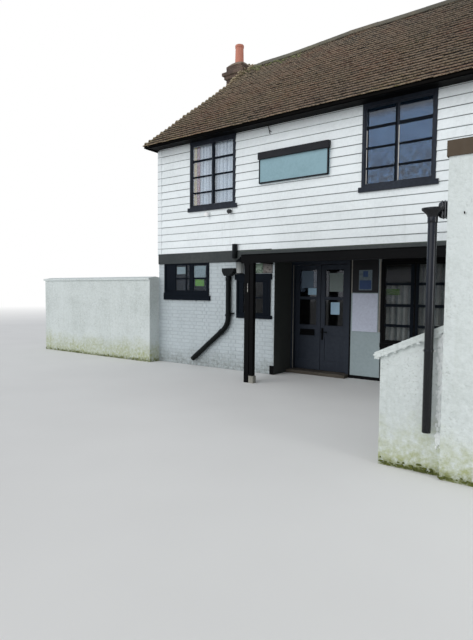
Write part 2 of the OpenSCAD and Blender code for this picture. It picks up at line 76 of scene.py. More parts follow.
def solids_of(node):
    """The boxes of the separate solids in a node, from left to right"""
    mesh = NODES[node].data
    places = np.array([vertex.co for vertex in mesh.vertices]).round(4)
    points, index = np.unique(places, axis=0, return_inverse=True)
    index = index.ravel()
    parent = list(range(len(points)))

    def root(i):
        while parent[i] != i:
            parent[i] = parent[parent[i]]
            i = parent[i]
        return i

    for face in mesh.polygons:
        first = root(index[face.vertices[0]])
        for vertex in face.vertices[1:]:
            parent[root(index[vertex])] = first
    groups = {}
    for i, point in enumerate(points):
        groups.setdefault(root(i), []).append(point)
    boxes = [(Vector(np.min(g, axis=0)), Vector(np.max(g, axis=0))) for g in groups.values()]
    return sorted(boxes, key=lambda box: box[0].x)


def extent(node, test):
    """The lowest and highest corner of those points of a node that pass a test"""
    points = np.array([v.co for v in NODES[node].data.vertices if test(v.co)])
    return Vector(points.min(axis=0)), Vector(points.max(axis=0))


FRONT = low("front_wall_upper").y
BACK = high("back_wall_upper").y
LEFT = low("left_wall_upper").x
RIGHT = high("right_wall_upper").x
BOARDS_FOOT = low("front_wall_upper").z
SOFFIT = low("eaves_ends").z
RECESS = low("door_frame").y
PORCH_X = high("front_wall_lower").x
RIDGE_Z = high("roof_front").z
RIDGE_X0 = high("roof_left").x
RIDGE_X1 = low("roof_right").x
EDGE_X0 = low("roof_left").x
EDGE_X1 = high("roof_right").x
EDGE_Y = high("roof_back").y
EAVES_Z = extent("roof_front", lambda co: co.y < 0.001 - EDGE_Y)[1].z
WING_X = low("wing_left_wall").x
WING_Y = low("wing_left_wall").y
UPPER_PANES = solids_of("glass_upper")
LOWER_PANES = solids_of("glass_lower")
FRONT_LIGHTS = [box for box in UPPER_PANES if box[0].y < 0]
FRONT_PANES = [box for box in LOWER_PANES if abs(box[0].y - FRONT) < 0.1]
RECESS_PANES = [box for box in LOWER_PANES if abs(box[0].y - RECESS) < 0.1]


def shade(red, green, blue):
    """A colour given as it is seen, from 0 to 255, as Blender's linear values"""
    parts = [c / 255 for c in (red, green, blue)]
    return tuple(c / 12.92 if c <= 0.04045 else ((c + 0.055) / 1.055) ** 2.4 for c in parts)


def size_property(name, value, description):
    return FloatProperty(name=name, default=value, min=0, unit="LENGTH", description=description)


def colour_property(name, value, description):
    return FloatVectorProperty(name=name, default=value, min=0, max=1, subtype="COLOR",
                               description=description)


class InnWalls(bpy.types.PropertyGroup):
    """Sizes of the boards and the bricks on the walls"""
    board_gauge: size_property("Board gauge", 0.149, "Height of each board that shows")
    board_butt: size_property("Board butt", 0.022, "Thickness of a board at its lower edge")
    board_head: size_property("Board head", 0.006, "Thickness of a board where the next laps it")
    board_length: size_property("Board length", 3.6, "Longest length of a board")
    corner_board: size_property("Corner board", 0.085, "Width of the boards at the corners")
    brick_length: size_property("Brick length", 0.215, "Length of a stretcher")
    brick_height: size_property("Brick height", 0.065, "Height of a brick")
    mortar: size_property("Mortar", 0.010, "Width of the joints")
    brick_proud: size_property("Brick relief", 0.005, "How far the bricks stand out of the joints")


class InnRoof(bpy.types.PropertyGroup):
    """Sizes of the tiles and of the old roof's unevenness"""
    courses: IntProperty(name="Courses", default=30, min=4, description="Tile courses on a slope")
    tile_width: size_property("Tile width", 0.165, "Width of a plain tile with its gap")
    tile_gap: size_property("Tile gap", 0.003, "Gap between neighbouring tiles")
    tile_thickness: size_property("Tile thickness", 0.013, "Thickness of a tile")
    tile_lift: size_property("Tail lift", 0.021, "Height of a tile's tail over the slope")
    overhang: size_property("Overhang", 0.014, "How far the lowest tails hang over the edge")
    eaves_sag: size_property("Sag", 0.030, "How much further the tails hang at the front's left")
    ridge_swell: size_property("Swell", 0.056, "How far the roof swells at the ridge's sound end")
    swell_from: FloatProperty(name="Swell from", default=-1.5, unit="LENGTH",
                              description="Where along the ridge the swell begins")
    swell_to: FloatProperty(name="Swell to", default=0.3, unit="LENGTH",
                            description="Where along the ridge the swell is full")
    hip_gap: size_property("Hip gap", 0.030, "How far short of the hips the tiles end")
    bonnet_sink: size_property("Bonnet sink", 0.058, "How deep the bonnets are bedded in the hips")
    bonnet_radius: size_property("Bonnet radius", 0.116, "Radius of a hip bonnet at its tail")
    ridge_radius: size_property("Ridge radius", 0.118, "Radius of the half-round ridge tiles")
    ridge_length: size_property("Ridge tile length", 0.30, "Length of a ridge tile")


class InnJoinery(bpy.types.PropertyGroup):
    """Sizes of the glazing bars, doors and trim"""
    bar_height: size_property("Bar height", 0.035, "Height of a glazing bar on its face")
    bar_depth: size_property("Bar depth", 0.020, "Depth of a glazing bar")
    frame_reach: size_property("Frame reach", 0.070, "Width of frame and sash beside the glass")
    bead: size_property("Bead", 0.008, "Width of the beads round panels and glass")
    net_clearance: size_property("Net clearance", 0.080, "How far the nets hang behind the glass")


class InnColours(bpy.types.PropertyGroup):
    """The colours of the finishes"""
    boards: colour_property("Boards", shade(240, 246, 248), "White paint on the weatherboards")
    bricks: colour_property("Painted bricks", shade(191, 200, 204), "White paint on the brickwork")
    render: colour_property("Render", shade(214, 221, 220), "White paint on the rendered walls")
    algae: colour_property("Algae", shade(158, 164, 104), "Green growth at the foot of the walls")
    moss: colour_property("Moss", shade(96, 102, 44), "Moss")
    tile_brown: colour_property("Brown tiles", shade(120, 99, 79), "Most of the roof tiles")
    tile_red: colour_property("Red tiles", shade(130, 90, 70), "The redder roof tiles")
    tile_grey: colour_property("Grey tiles", shade(84, 78, 66), "The greyer roof tiles")
    lichen: colour_property("Lichen", shade(126, 122, 66), "Growth on the tiles")
    black: colour_property("Black paint", shade(21, 21, 24), "Canopy, posts, fascias and sills")
    beam: colour_property("Beam paint", shade(52, 57, 57), "The beam under the boarded front")
    frames: colour_property("Window paint", shade(26, 30, 38), "Window frames")
    slate: colour_property("Door paint", shade(37, 43, 53), "Doors and their frame")
    soot: colour_property("Sooty brick", shade(116, 96, 84), "Brickwork of the chimney")
    terracotta: colour_property("Terracotta", shade(204, 136, 116), "The chimney pot")
    fascia: colour_property("Brown paint", shade(78, 66, 52), "The wing's fascia")
    sign: colour_property("Sign panel", shade(140, 172, 182), "The bare panel of the sign")
    notice: colour_property("Notice board", shade(194, 200, 216), "The board beside the doors")
    felt: colour_property("Felt", shade(84, 91, 88), "Felt on the flat roofs")
    pipe: colour_property("Pipe", shade(20, 21, 24), "Plastic and iron pipes")


# Modelling helpers

def take(*pieces):
    """Selects these pieces alone and makes the first of them active"""
    bpy.ops.object.select_all(action="DESELECT")
    for piece in pieces:
        piece.select_set(True)
    bpy.context.view_layer.objects.active = pieces[0]


def primitive(name, operator, **settings):
    """A primitive made by its operator, named, with its place put into its mesh"""
    bpy.ops.object.select_all(action="DESELECT")
    operator(**settings)
    piece = bpy.context.object
    piece.name = name
    bpy.ops.object.transform_apply(location=True, rotation=True, scale=True)
    return piece


def edit_all(piece):
    """Opens a piece for editing, selected all over"""
    take(piece)
    bpy.ops.object.mode_set(mode="EDIT")
    bpy.ops.mesh.select_all(action="SELECT")


def leave_edit():
    bpy.ops.object.mode_set(mode="OBJECT")


def pick(piece, kind, test):
    """Selects in a piece the vertices, edges or faces whose middle passes a test, and edits it"""
    take(piece)
    mesh = piece.data
    bpy.ops.object.mode_set(mode="EDIT")
    bpy.ops.mesh.select_mode(type=kind)
    bpy.ops.mesh.select_all(action="DESELECT")
    bpy.ops.object.mode_set(mode="OBJECT")
    if kind == "VERT":
        for vertex in mesh.vertices:
            vertex.select = test(vertex.co)
    elif kind == "EDGE":
        for edge in mesh.edges:
            a, b = (mesh.vertices[i].co for i in edge.vertices)
            edge.select = test((a + b) / 2, b - a)
    else:
        for face in mesh.polygons:
            face.select = test(face.center, face.normal)
    bpy.ops.object.mode_set(mode="EDIT")


def bevel_edges(piece, width, segments, test):
    """Eases those edges of a piece that pass a test"""
    pick(piece, "EDGE", test)
    bpy.ops.mesh.bevel(offset=width, segments=segments, affect="EDGES")
    leave_edit()


def shift_points(piece, shift, test):
    """Moves those points of a piece that pass a test"""
    pick(piece, "VERT", test)
    bpy.ops.transform.translate(value=shift)
    leave_edit()


def face_outward(piece):
    """Turns all the faces of a piece to its outside"""
    edit_all(piece)
    bpy.ops.mesh.normals_make_consistent(inside=False)
    leave_edit()


def cut(piece, point, outward, close=True):
    """Cuts away what lies beyond a plane, and closes the cut if it is to be closed"""
    edit_all(piece)
    bpy.ops.mesh.bisect(plane_co=point, plane_no=outward, use_fill=close, clear_outer=True)
    leave_edit()


def half_shell(piece, foot, thickness):
    """Keeps what an open tube has above a height, and gives it thickness"""
    cut(piece, (0, 0, foot), (0, 0, -1), close=False)
    apply_modifier(piece, "SOLIDIFY", thickness=thickness, offset=-1.0)
    face_outward(piece)
    return piece


def block(name, near, far, edge=0.0, segments=1):
    """A block between two corners, its edges eased by a bevel"""
    near, far = Vector(near), Vector(far)
    piece = primitive(name, bpy.ops.mesh.primitive_cube_add, size=1, location=(near + far) / 2,
                      scale=far - near)
    if edge:
        edit_all(piece)
        bpy.ops.mesh.bevel(offset=edge, segments=segments, affect="EDGES")
        leave_edit()
    return piece


def rod(name, start, end, radius, sides, edge=0.0):
    """A round bar from one point to another, its rims eased by a bevel"""
    start, end = Vector(start), Vector(end)
    run = end - start
    piece = primitive(name, bpy.ops.mesh.primitive_cylinder_add, vertices=sides, radius=radius,
                      depth=run.length, location=(start + end) / 2,
                      rotation=run.to_track_quat("Z", "Y").to_euler())
    if edge:
        way = run.normalized()
        bevel_edges(piece, edge, 2, lambda middle, along: abs(along.normalized().dot(way)) < 0.5)
    smooth(piece)
    return piece


def smooth(piece, angle=35):
    take(piece)
    bpy.ops.object.shade_smooth_by_angle(angle=math.radians(angle))


def apply_modifier(piece, kind, **settings):
    """Adds a modifier to a piece and applies it"""
    take(piece)
    modifier = piece.modifiers.new(kind.title(), kind)
    for name, value in settings.items():
        setattr(modifier, name, value)
    bpy.ops.object.modifier_apply(modifier=modifier.name)


def join(name, pieces):
    """Joins pieces into one of the given name"""
    take(*pieces)
    bpy.ops.object.join()
    piece = bpy.context.object
    piece.name = name
    return piece


def new_piece(name, points, faces):
    """A piece made of points and the faces between them"""
    mesh = bpy.data.meshes.new(name)
    mesh.from_pydata(points, [], faces)
    piece = bpy.data.objects.new(name, mesh)
    bpy.context.scene.collection.objects.link(piece)
    return piece


def mark(piece, name, values):
    """Gives every point of a piece a value that its finish reads"""
    piece.data.attributes.new(name, "FLOAT", "POINT").data.foreach_set("value", values)


def lay(name, pattern, places, seed=1):
    """Copies of a modelled pattern at the given places in one mesh.

    Each copy has a tone of its own, and its reach runs from 0 at the pattern's low Y end to 1.
    """
    chance = random.Random(seed)
    points = np.array([vertex.co for vertex in pattern.data.vertices])
    reach = (points[:, 1] - points[:, 1].min()) / max(np.ptp(points[:, 1]), 1e-6)
    faces = [tuple(face.vertices) for face in pattern.data.polygons]
    all_points = []
    all_faces = []
    tones = []
    for i, place in enumerate(places):
        turn = np.array(place)
        all_points.append(points @ turn[:3, :3].T + turn[:3, 3])
        offset = i * len(points)
        all_faces += [tuple(offset + v for v in face) for face in faces]
        tones += [chance.random()] * len(points)
    piece = new_piece(name, np.concatenate(all_points).tolist(), all_faces)
    mark(piece, "tone", tones)
    mark(piece, "reach", np.tile(reach, len(places)))
    bpy.data.objects.remove(pattern)
    return piece


def place(at, turn=(0, 0, 0), size=(1, 1, 1)):
    """The matrix of a copy: its size, its turn in degrees about X, Y and Z, and its place"""
    angles = [math.radians(a) for a in turn]
    spin = Matrix.Rotation(angles[2], 4, "Z") @ Matrix.Rotation(angles[1], 4, "Y")
    return (Matrix.Translation(at) @ spin @ Matrix.Rotation(angles[0], 4, "X")
            @ Matrix.Diagonal((*size, 1)))


def dress(piece, finish, body=HOUSE):
    """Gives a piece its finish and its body"""
    piece.data.materials.clear()
    piece.data.materials.append(FINISHES[finish])
    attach(piece, body)
    return piece


class Wall:
    """The outer face of a wall, as someone who stands in front of it sees it"""

    def __init__(self, start, end):
        self.start = Vector((*start, 0))
        run = Vector((*end, 0)) - self.start
        self.length = run.length
        self.along = run.normalized()
        self.inward = Vector((0, 0, 1)).cross(self.along)
        self.turn = Matrix((self.along, self.inward, Vector((0, 0, 1)))).transposed().to_4x4()

    def place(self, along, z, size=(1, 1, 1), inward=0.0):
        at = self.start + self.along * along + self.inward * inward + Vector((0, 0, z))
        return Matrix.Translation(at) @ self.turn @ Matrix.Diagonal((*size, 1))

    def reach(self, box):
        """How far along the wall a box begins and ends"""
        ends = [(corner - self.start).dot(self.along) for corner in box]
        return min(ends), max(ends)


def free_runs(first, last, gaps):
    """What is left of a stretch between first and last once the gaps are taken out"""
    runs = []
    at = first
    for start, end in sorted(gaps):
        if start > at:
            runs.append((at, start))
        at = max(at, end)
    if at < last:
        runs.append((at, last))
    return [run for run in runs if run[1] - run[0] > 0.01]


# Finishes

class Recipe:
    """A node tree being put together, for a finish or for a shared effect"""

    def __init__(self, tree):
        self.tree = tree

    def feed(self, socket, value):
        """Links a socket to another one, or sets its value, a plain colour as an opaque one"""
        if isinstance(value, bpy.types.NodeSocket):
            self.tree.links.new(value, socket)
        elif socket.type == "RGBA" and len(value) == 3:
            socket.default_value = (*value, 1.0)
        else:
            socket.default_value = value

    def add(self, kind, inputs=None, **settings):
        """A node of a kind, with its inputs set to values or linked to sockets"""
        node = self.tree.nodes.new("ShaderNode" + kind)
        for name, value in settings.items():
            setattr(node, name, value)
        for key, value in (inputs or {}).items():
            self.feed(node.inputs[key], value)
        return node

    def noise(self, coordinates, scale, detail, rough=0.6):
        return self.add("TexNoise", {"Vector": coordinates, "Scale": scale, "Detail": detail,
                                     "Roughness": rough}).outputs["Fac"]

    def mix(self, share, first, second, blend="MIX"):
        node = self.add("Mix", {0: share, 6: first, 7: second}, data_type="RGBA",
                        blend_type=blend)
        return node.outputs[2]

    def reckon(self, operation, first, second=0.5, third=0.5):
        node = self.add("Math", {0: first, 1: second, 2: third}, operation=operation)
        return node.outputs[0]

    def times(self, product, *factors):
        """The product of several values"""
        for factor in factors:
            product = self.reckon("MULTIPLY", product, factor)
        return product

    def vector(self, operation, first, second=(0, 0, 0)):
        return self.add("VectorMath", {0: first, 1: second}, operation=operation).outputs[0]

    def between(self, value, start, end, first=0.0, last=1.0):
        """A value carried from one range to another, and held at its ends"""
        node = self.add("MapRange", {"Value": value, "From Min": start, "From Max": end,
                                     "To Min": first, "To Max": last})
        node.clamp = True
        return node.outputs["Result"]

    def stretched(self, coordinates, scale):
        node = self.add("Mapping", {"Vector": coordinates, "Scale": scale})
        return node.outputs["Vector"]

    def part(self, axis, coordinates):
        return self.add("SeparateXYZ", {"Vector": coordinates}).outputs[axis]

    def attribute(self, name):
        return self.add("Attribute", attribute_name=name).outputs["Fac"]

    def grey(self, value):
        return self.add("CombineColor", {0: value, 1: value, 2: value}).outputs[0]


GROUPS = {}
FINISHES = {}


def shared_effect(name, inputs, build):
    """A node group with named inputs and one output, built by a function of its Recipe"""
    tree = bpy.data.node_groups.new(name, "ShaderNodeTree")
    kinds = {"Color": "NodeSocketColor", "Vector": "NodeSocketVector", "Float": "NodeSocketFloat"}
    for label, kind, value in inputs:
        socket = tree.interface.new_socket(name=label, in_out="INPUT", socket_type=kinds[kind])
        if value is not None:
            socket.default_value = value
    recipe = Recipe(tree)
    given = tree.nodes.new("NodeGroupInput")
    label, kind, result = build(recipe, given.outputs)
    tree.interface.new_socket(name=label, in_out="OUTPUT", socket_type=kinds[kind])
    tree.links.new(result, tree.nodes.new("NodeGroupOutput").inputs[label])
    GROUPS[name] = tree


def build_patina(r, given):
    """Broad and fine changes of tone, towards a dirt colour"""
    broad = r.noise(given["Place"], 1.3, 4.0)
    fine = r.noise(given["Place"], 23.0, 5.0, 0.7)
    share = r.between(r.times(broad, fine), 0.18, 0.42)
    dirty = r.mix(r.times(share, given["Amount"]), given["Colour"], given["Dirt"])
    return "Colour", "Color", dirty


def build_streaks(r, given):
    """Marks that rain leaves as it runs down a wall"""
    thin = r.noise(r.stretched(given["Place"], (9.0, 9.0, 0.55)), 1.6, 5.0, 0.65)
    patch = r.noise(given["Place"], 0.9, 2.0)
    share = r.times(r.between(thin, 0.52, 0.78), r.between(patch, 0.35, 0.65))
    marked = r.mix(r.times(share, given["Amount"]), given["Colour"], given["Dirt"])
    return "Colour", "Color", marked


def build_foot_growth(r, given):
    """Algae that climbs a wall from the ground, and thins out with height"""
    edge = r.noise(given["Place"], 2.4, 5.0, 0.7)
    fine = r.noise(given["Place"], 17.0, 4.0, 0.7)
    height = r.part("Z", given["Place"])
    fade = r.between(r.reckon("DIVIDE", height, given["Reach"]), 0.0, 1.0, 1.0, 0.0)
    share = r.times(r.between(r.reckon("ADD", fade, edge), 0.75, 1.35),
                    r.between(fine, 0.3, 0.62))
    grown = r.mix(r.times(share, given["Amount"]), given["Colour"], given["Growth"])
    return "Colour", "Color", grown


def build_copy_tone(r, given):
    """Makes each laid copy a little lighter or darker than its neighbours"""
    low_value = r.reckon("SUBTRACT", 1.0, given["Amount"])
    factor = r.reckon("MULTIPLY_ADD", r.attribute("tone"), given["Amount"], low_value)
    return "Colour", "Color", r.mix(1.0, given["Colour"], r.grey(factor), "MULTIPLY")


def build_rough_coat(r, given):
    """The height of a lumpy coat, from coarse lumps to fine grit"""
    coarse = r.noise(given["Place"], given["Coarse"], 3.0, 0.55)
    fine = r.noise(given["Place"], given["Fine"], 4.0, 0.7)
    return "Height", "Float", r.reckon("MULTIPLY_ADD", fine, 0.35, coarse)


def build_timber_grain(r, given):
    """The height of timber grain, drawn out along one direction by its stretch"""
    place_in = r.vector("MULTIPLY", given["Place"], given["Stretch"])
    return "Height", "Float", r.noise(place_in, 1.0, 6.0, 0.7)


def build_lap_shade(r, given):
    """Painted shade: a dark line under each lapped board's lower edge"""
    height = r.reckon("SUBTRACT", r.part("Z", given["Place"]), given["Foot"])
    courses = r.reckon("DIVIDE", height, given["Gauge"])
    share = r.between(r.reckon("FRACT", courses), 0.90, 0.965)
    broken = r.between(r.noise(given["Place"], 5.0, 3.0), 0.25, 0.5, 0.6, 1.0)
    dark = r.mix(r.times(share, broken, given["Amount"]), given["Colour"], given["Dirt"])
    return "Colour", "Color", dark


def build_room_side(r, given):
    """Dull plaster on what lies inside a box, for the room side of the walls, painted dark as the
    shade of the dim rooms
    """
    offset = r.vector("SUBTRACT", given["Place"], given["Middle"])
    beyond = r.vector("SUBTRACT", r.vector("ABSOLUTE", offset), given["Half"])
    parts = r.add("SeparateXYZ", {"Vector": beyond}).outputs
    furthest = r.reckon("MAXIMUM", r.reckon("MAXIMUM", parts[0], parts[1]), parts[2])
    inside = r.reckon("LESS_THAN", furthest, 0.0)
    return "Colour", "Color", r.mix(inside, given["Colour"], given["Room"])


def make_groups():
    """Makes the effects that the finishes share"""
    where = ("Place", "Vector", None)
    base = ("Colour", "Color", (0.5, 0.5, 0.5, 1))
    dirt = ("Dirt", "Color", (0.2, 0.2, 0.2, 1))
    amount = ("Amount", "Float", 0.5)
    shared_effect("patina", [where, base, dirt, amount], build_patina)
    shared_effect("rain_streaks", [where, base, dirt, amount], build_streaks)
    shared_effect("foot_growth", [where, base, ("Growth", "Color", (0.3, 0.3, 0.1, 1)), amount,
                                  ("Reach", "Float", 0.8)], build_foot_growth)
    shared_effect("lap_shade", [where, base, dirt, amount, ("Foot", "Float", 0.0),
                               ("Gauge", "Float", 0.15)], build_lap_shade)
    shared_effect("room_side", [where, base, ("Room", "Color", (0.1, 0.09, 0.08, 1)),
                                ("Middle", "Vector", None), ("Half", "Vector", None)],
                  build_room_side)
    shared_effect("copy_tone", [base, amount], build_copy_tone)
    shared_effect("rough_coat", [where, ("Coarse", "Float", 14.0), ("Fine", "Float", 90.0)],
                  build_rough_coat)
    shared_effect("timber_grain", [where, ("Stretch", "Vector", (2.0, 60.0, 60.0))],
                  build_timber_grain)


class Finish(Recipe):
    """A material being put together"""

    def __init__(self, name, roughness, **sockets):
        self.material = bpy.data.materials.new(name)
        self.material.use_nodes = True
        super().__init__(self.material.node_tree)
        self.shader = self.tree.nodes["Principled BSDF"]
        self.where = self.add("TexCoord").outputs["Object"]
        self.shader.inputs["Roughness"].default_value = roughness
        for label, value in sockets.items():
            self.shader.inputs[label.replace("_", " ")].default_value = value
        FINISHES[name] = self.material

    def effect(self, name, **inputs):
        """One of the shared effects, placed with its own values"""
        node = self.add("Group", node_tree=GROUPS[name])
        if "Place" in node.inputs:
            inputs["Place"] = self.where
        for label, value in inputs.items():
            self.feed(node.inputs[label], value)
        return node.outputs[0]

    def copy_tone(self, base, amount):
        return self.effect("copy_tone", Colour=base, Amount=amount)

    def patina(self, base, dirt, amount):
        return self.effect("patina", Colour=base, Dirt=dirt, Amount=amount)

    def streaks(self, base, dirt, amount):
        return self.effect("rain_streaks", Colour=base, Dirt=dirt, Amount=amount)

    def growth(self, base, colour, reach, amount):
        return self.effect("foot_growth", Colour=base, Growth=colour, Reach=reach, Amount=amount)

    def indoors(self, base, rooms):
        """The same colour with dull plaster, painted dark as the shade of the dim rooms, on the
        sides that face these rooms
        """
        for near, far in rooms:
            middle = (Vector(near) + Vector(far)) / 2
            base = self.effect("room_side", Colour=base, Room=shade(44, 43, 42), Middle=middle,
                               Half=Vector(far) - middle)
        return base

    def colour(self, value):
        self.feed(self.shader.inputs["Base Color"], value)

    def relief(self, height, depth, strength):
        bump = self.add("Bump", {"Height": height, "Distance": depth, "Strength": strength})
        self.feed(self.shader.inputs["Normal"], bump.outputs["Normal"])

    def rough(self, coarse, fine, depth, strength):
        """The relief of a lumpy coat"""
        self.relief(self.effect("rough_coat", Coarse=coarse, Fine=fine), depth, strength)

    def patches(self, scale, detail, rough, start, end):
        """Irregular patches: nothing where the noise is at its start, all where at its end"""
        return self.between(self.noise(self.where, scale, detail, rough), start, end)

    def dullness(self, value, least, most):
        """Roughness that changes with a value over the surface"""
        self.feed(self.shader.inputs["Roughness"], self.between(value, 0.3, 0.7, least, most))


# How far the inside of a room lies behind the outer face of its walls
WALL_DEPTH = 0.12
# The insides of the rooms, from corner to corner, a little into the walls
UPPER_ROOM = ((LEFT + WALL_DEPTH, FRONT + 0.012, BOARDS_FOOT - 0.3),
              (RIGHT - WALL_DEPTH, BACK - 0.012, RIDGE_Z))
CORNER_ROOM = ((LEFT + WALL_DEPTH, FRONT + 0.18, 0.0),
               (PORCH_X - 0.1, BACK - WALL_DEPTH, BOARDS_FOOT))
MAIN_ROOM = ((PORCH_X - 0.2, RECESS + 0.14, 0.0),
             (RIGHT - WALL_DEPTH, BACK - WALL_DEPTH, BOARDS_FOOT))
WING_ROOM = ((WING_X + WALL_DEPTH, WING_Y + WALL_DEPTH, 0.0),
             (WING_X + 3.48, BACK - WALL_DEPTH, 2.7))


def make_board_paint(colours, gauge):
    """White paint on the weatherboards, with painted shade under the laps"""
    f = Finish("board_paint", 0.45, Specular_IOR_Level=0.3)
    base = f.patina(f.copy_tone(colours.boards, 0.05), shade(190, 197, 197), 0.3)
    base = f.streaks(base, shade(160, 166, 160), 0.22)
    # The dark line under each board's butt is painted shade; here the Dirt input carries its colour
    base = f.effect("lap_shade", Colour=base, Dirt=shade(84, 90, 92), Amount=0.85,
                    Foot=BOARDS_FOOT, Gauge=gauge)
    f.colour(f.indoors(base, [UPPER_ROOM]))
    f.relief(f.effect("timber_grain", Stretch=(2.0, 2.0, 70.0)), 0.0012, 0.4)


def make_brick_paint(colours):
    """Paint on the bricks, and its dirtier coat in the joints between them"""
    for name, value, dirt_share in (("brick_paint", colours.bricks, 0.35),
                                    ("joint_paint", shade(183, 192, 196), 0.5)):
        f = Finish(name, 0.6, Specular_IOR_Level=0.3)
        base = f.patina(f.copy_tone(value, 0.05), shade(160, 168, 172), dirt_share)
        base = f.streaks(base, shade(130, 136, 130), 0.25)
        base = f.growth(base, shade(96, 98, 86), 0.5, 0.6)
        f.colour(f.indoors(base, [CORNER_ROOM, MAIN_ROOM]))
        f.rough(26.0, 110.0, 0.002, 0.5)


def make_render_paint(colours):
    """Paint on the rendered walls, green at the foot and pitted on the raking and yard walls"""
    f = Finish("render_paint", 0.72, Specular_IOR_Level=0.3)
    base = f.patina(colours.render, shade(176, 184, 180), 0.6)
    base = f.streaks(base, shade(150, 158, 140), 0.4)
    base = f.growth(base, colours.algae, 0.66, 0.85)
    base = f.growth(base, colours.moss, 0.12, 1.0)
    pits = f.patches(46.0, 2.0, 0.5, 0.60, 0.70)
    dark_tone = f.patches(3.0, 3.0, 0.6, 0.45, 0.65)
    before_wing = f.between(f.part("X", f.where), WING_X, WING_X + 0.3, 1.0, 0.12)
    base = f.mix(f.times(pits, dark_tone, before_wing, 0.38), base, shade(132, 136, 128))
    f.colour(f.indoors(base, [WING_ROOM]))
    f.rough(18.0, 70.0, 0.016, 0.9)


def make_timber_paints(colours):
    """Dark paint on beams, sashes, doors and fascias, and the same on the recess's walls; under the
    canopy, under the eaves and in the recess it is darker, as painted shade
    """
    lengthwise = (2.0, 60.0, 60.0)
    upright = (40.0, 40.0, 3.0)
    for name, value, dust, shine, grain in (
            ("black_timber", colours.black, shade(40, 39, 38), 0.2, lengthwise),
            # This row, the next one and the recess's row are black paint made darker still: painted
            # shade under the canopy and the eaves and in the recess
            ("canopy_black_and_shade", shade(9, 9, 9), shade(20, 19, 18), 0.06, lengthwise),
            ("eaves_black_and_shade", shade(8, 8, 9), shade(18, 17, 16), 0.06, lengthwise),
            ("sash_paint", shade(8, 15, 23), shade(20, 27, 34), 0.06, upright),
            ("beam_timber", colours.beam, shade(84, 84, 82), 0.2, lengthwise),
            ("window_paint", colours.frames, shade(58, 66, 78), 0.2, upright),
            ("door_paint", colours.slate, shade(56, 63, 72), 0.2, upright),
            ("brown_timber", colours.fascia, shade(96, 84, 68), 0.2, upright),
            ("dark_wall", shade(13, 13, 15), shade(28, 28, 28), 0.06, (6.0, 6.0, 6.0))):
        f = Finish(name, 0.5, Specular_IOR_Level=shine)
        base = f.streaks(f.patina(value, dust, 0.4), dust, 0.4)
        f.colour(f.indoors(base, [CORNER_ROOM, MAIN_ROOM] if name == "dark_wall" else []))
        height = f.effect("timber_grain", Stretch=grain)
        f.relief(height, 0.0015, 0.6)
        f.dullness(height, 0.42, 0.65)


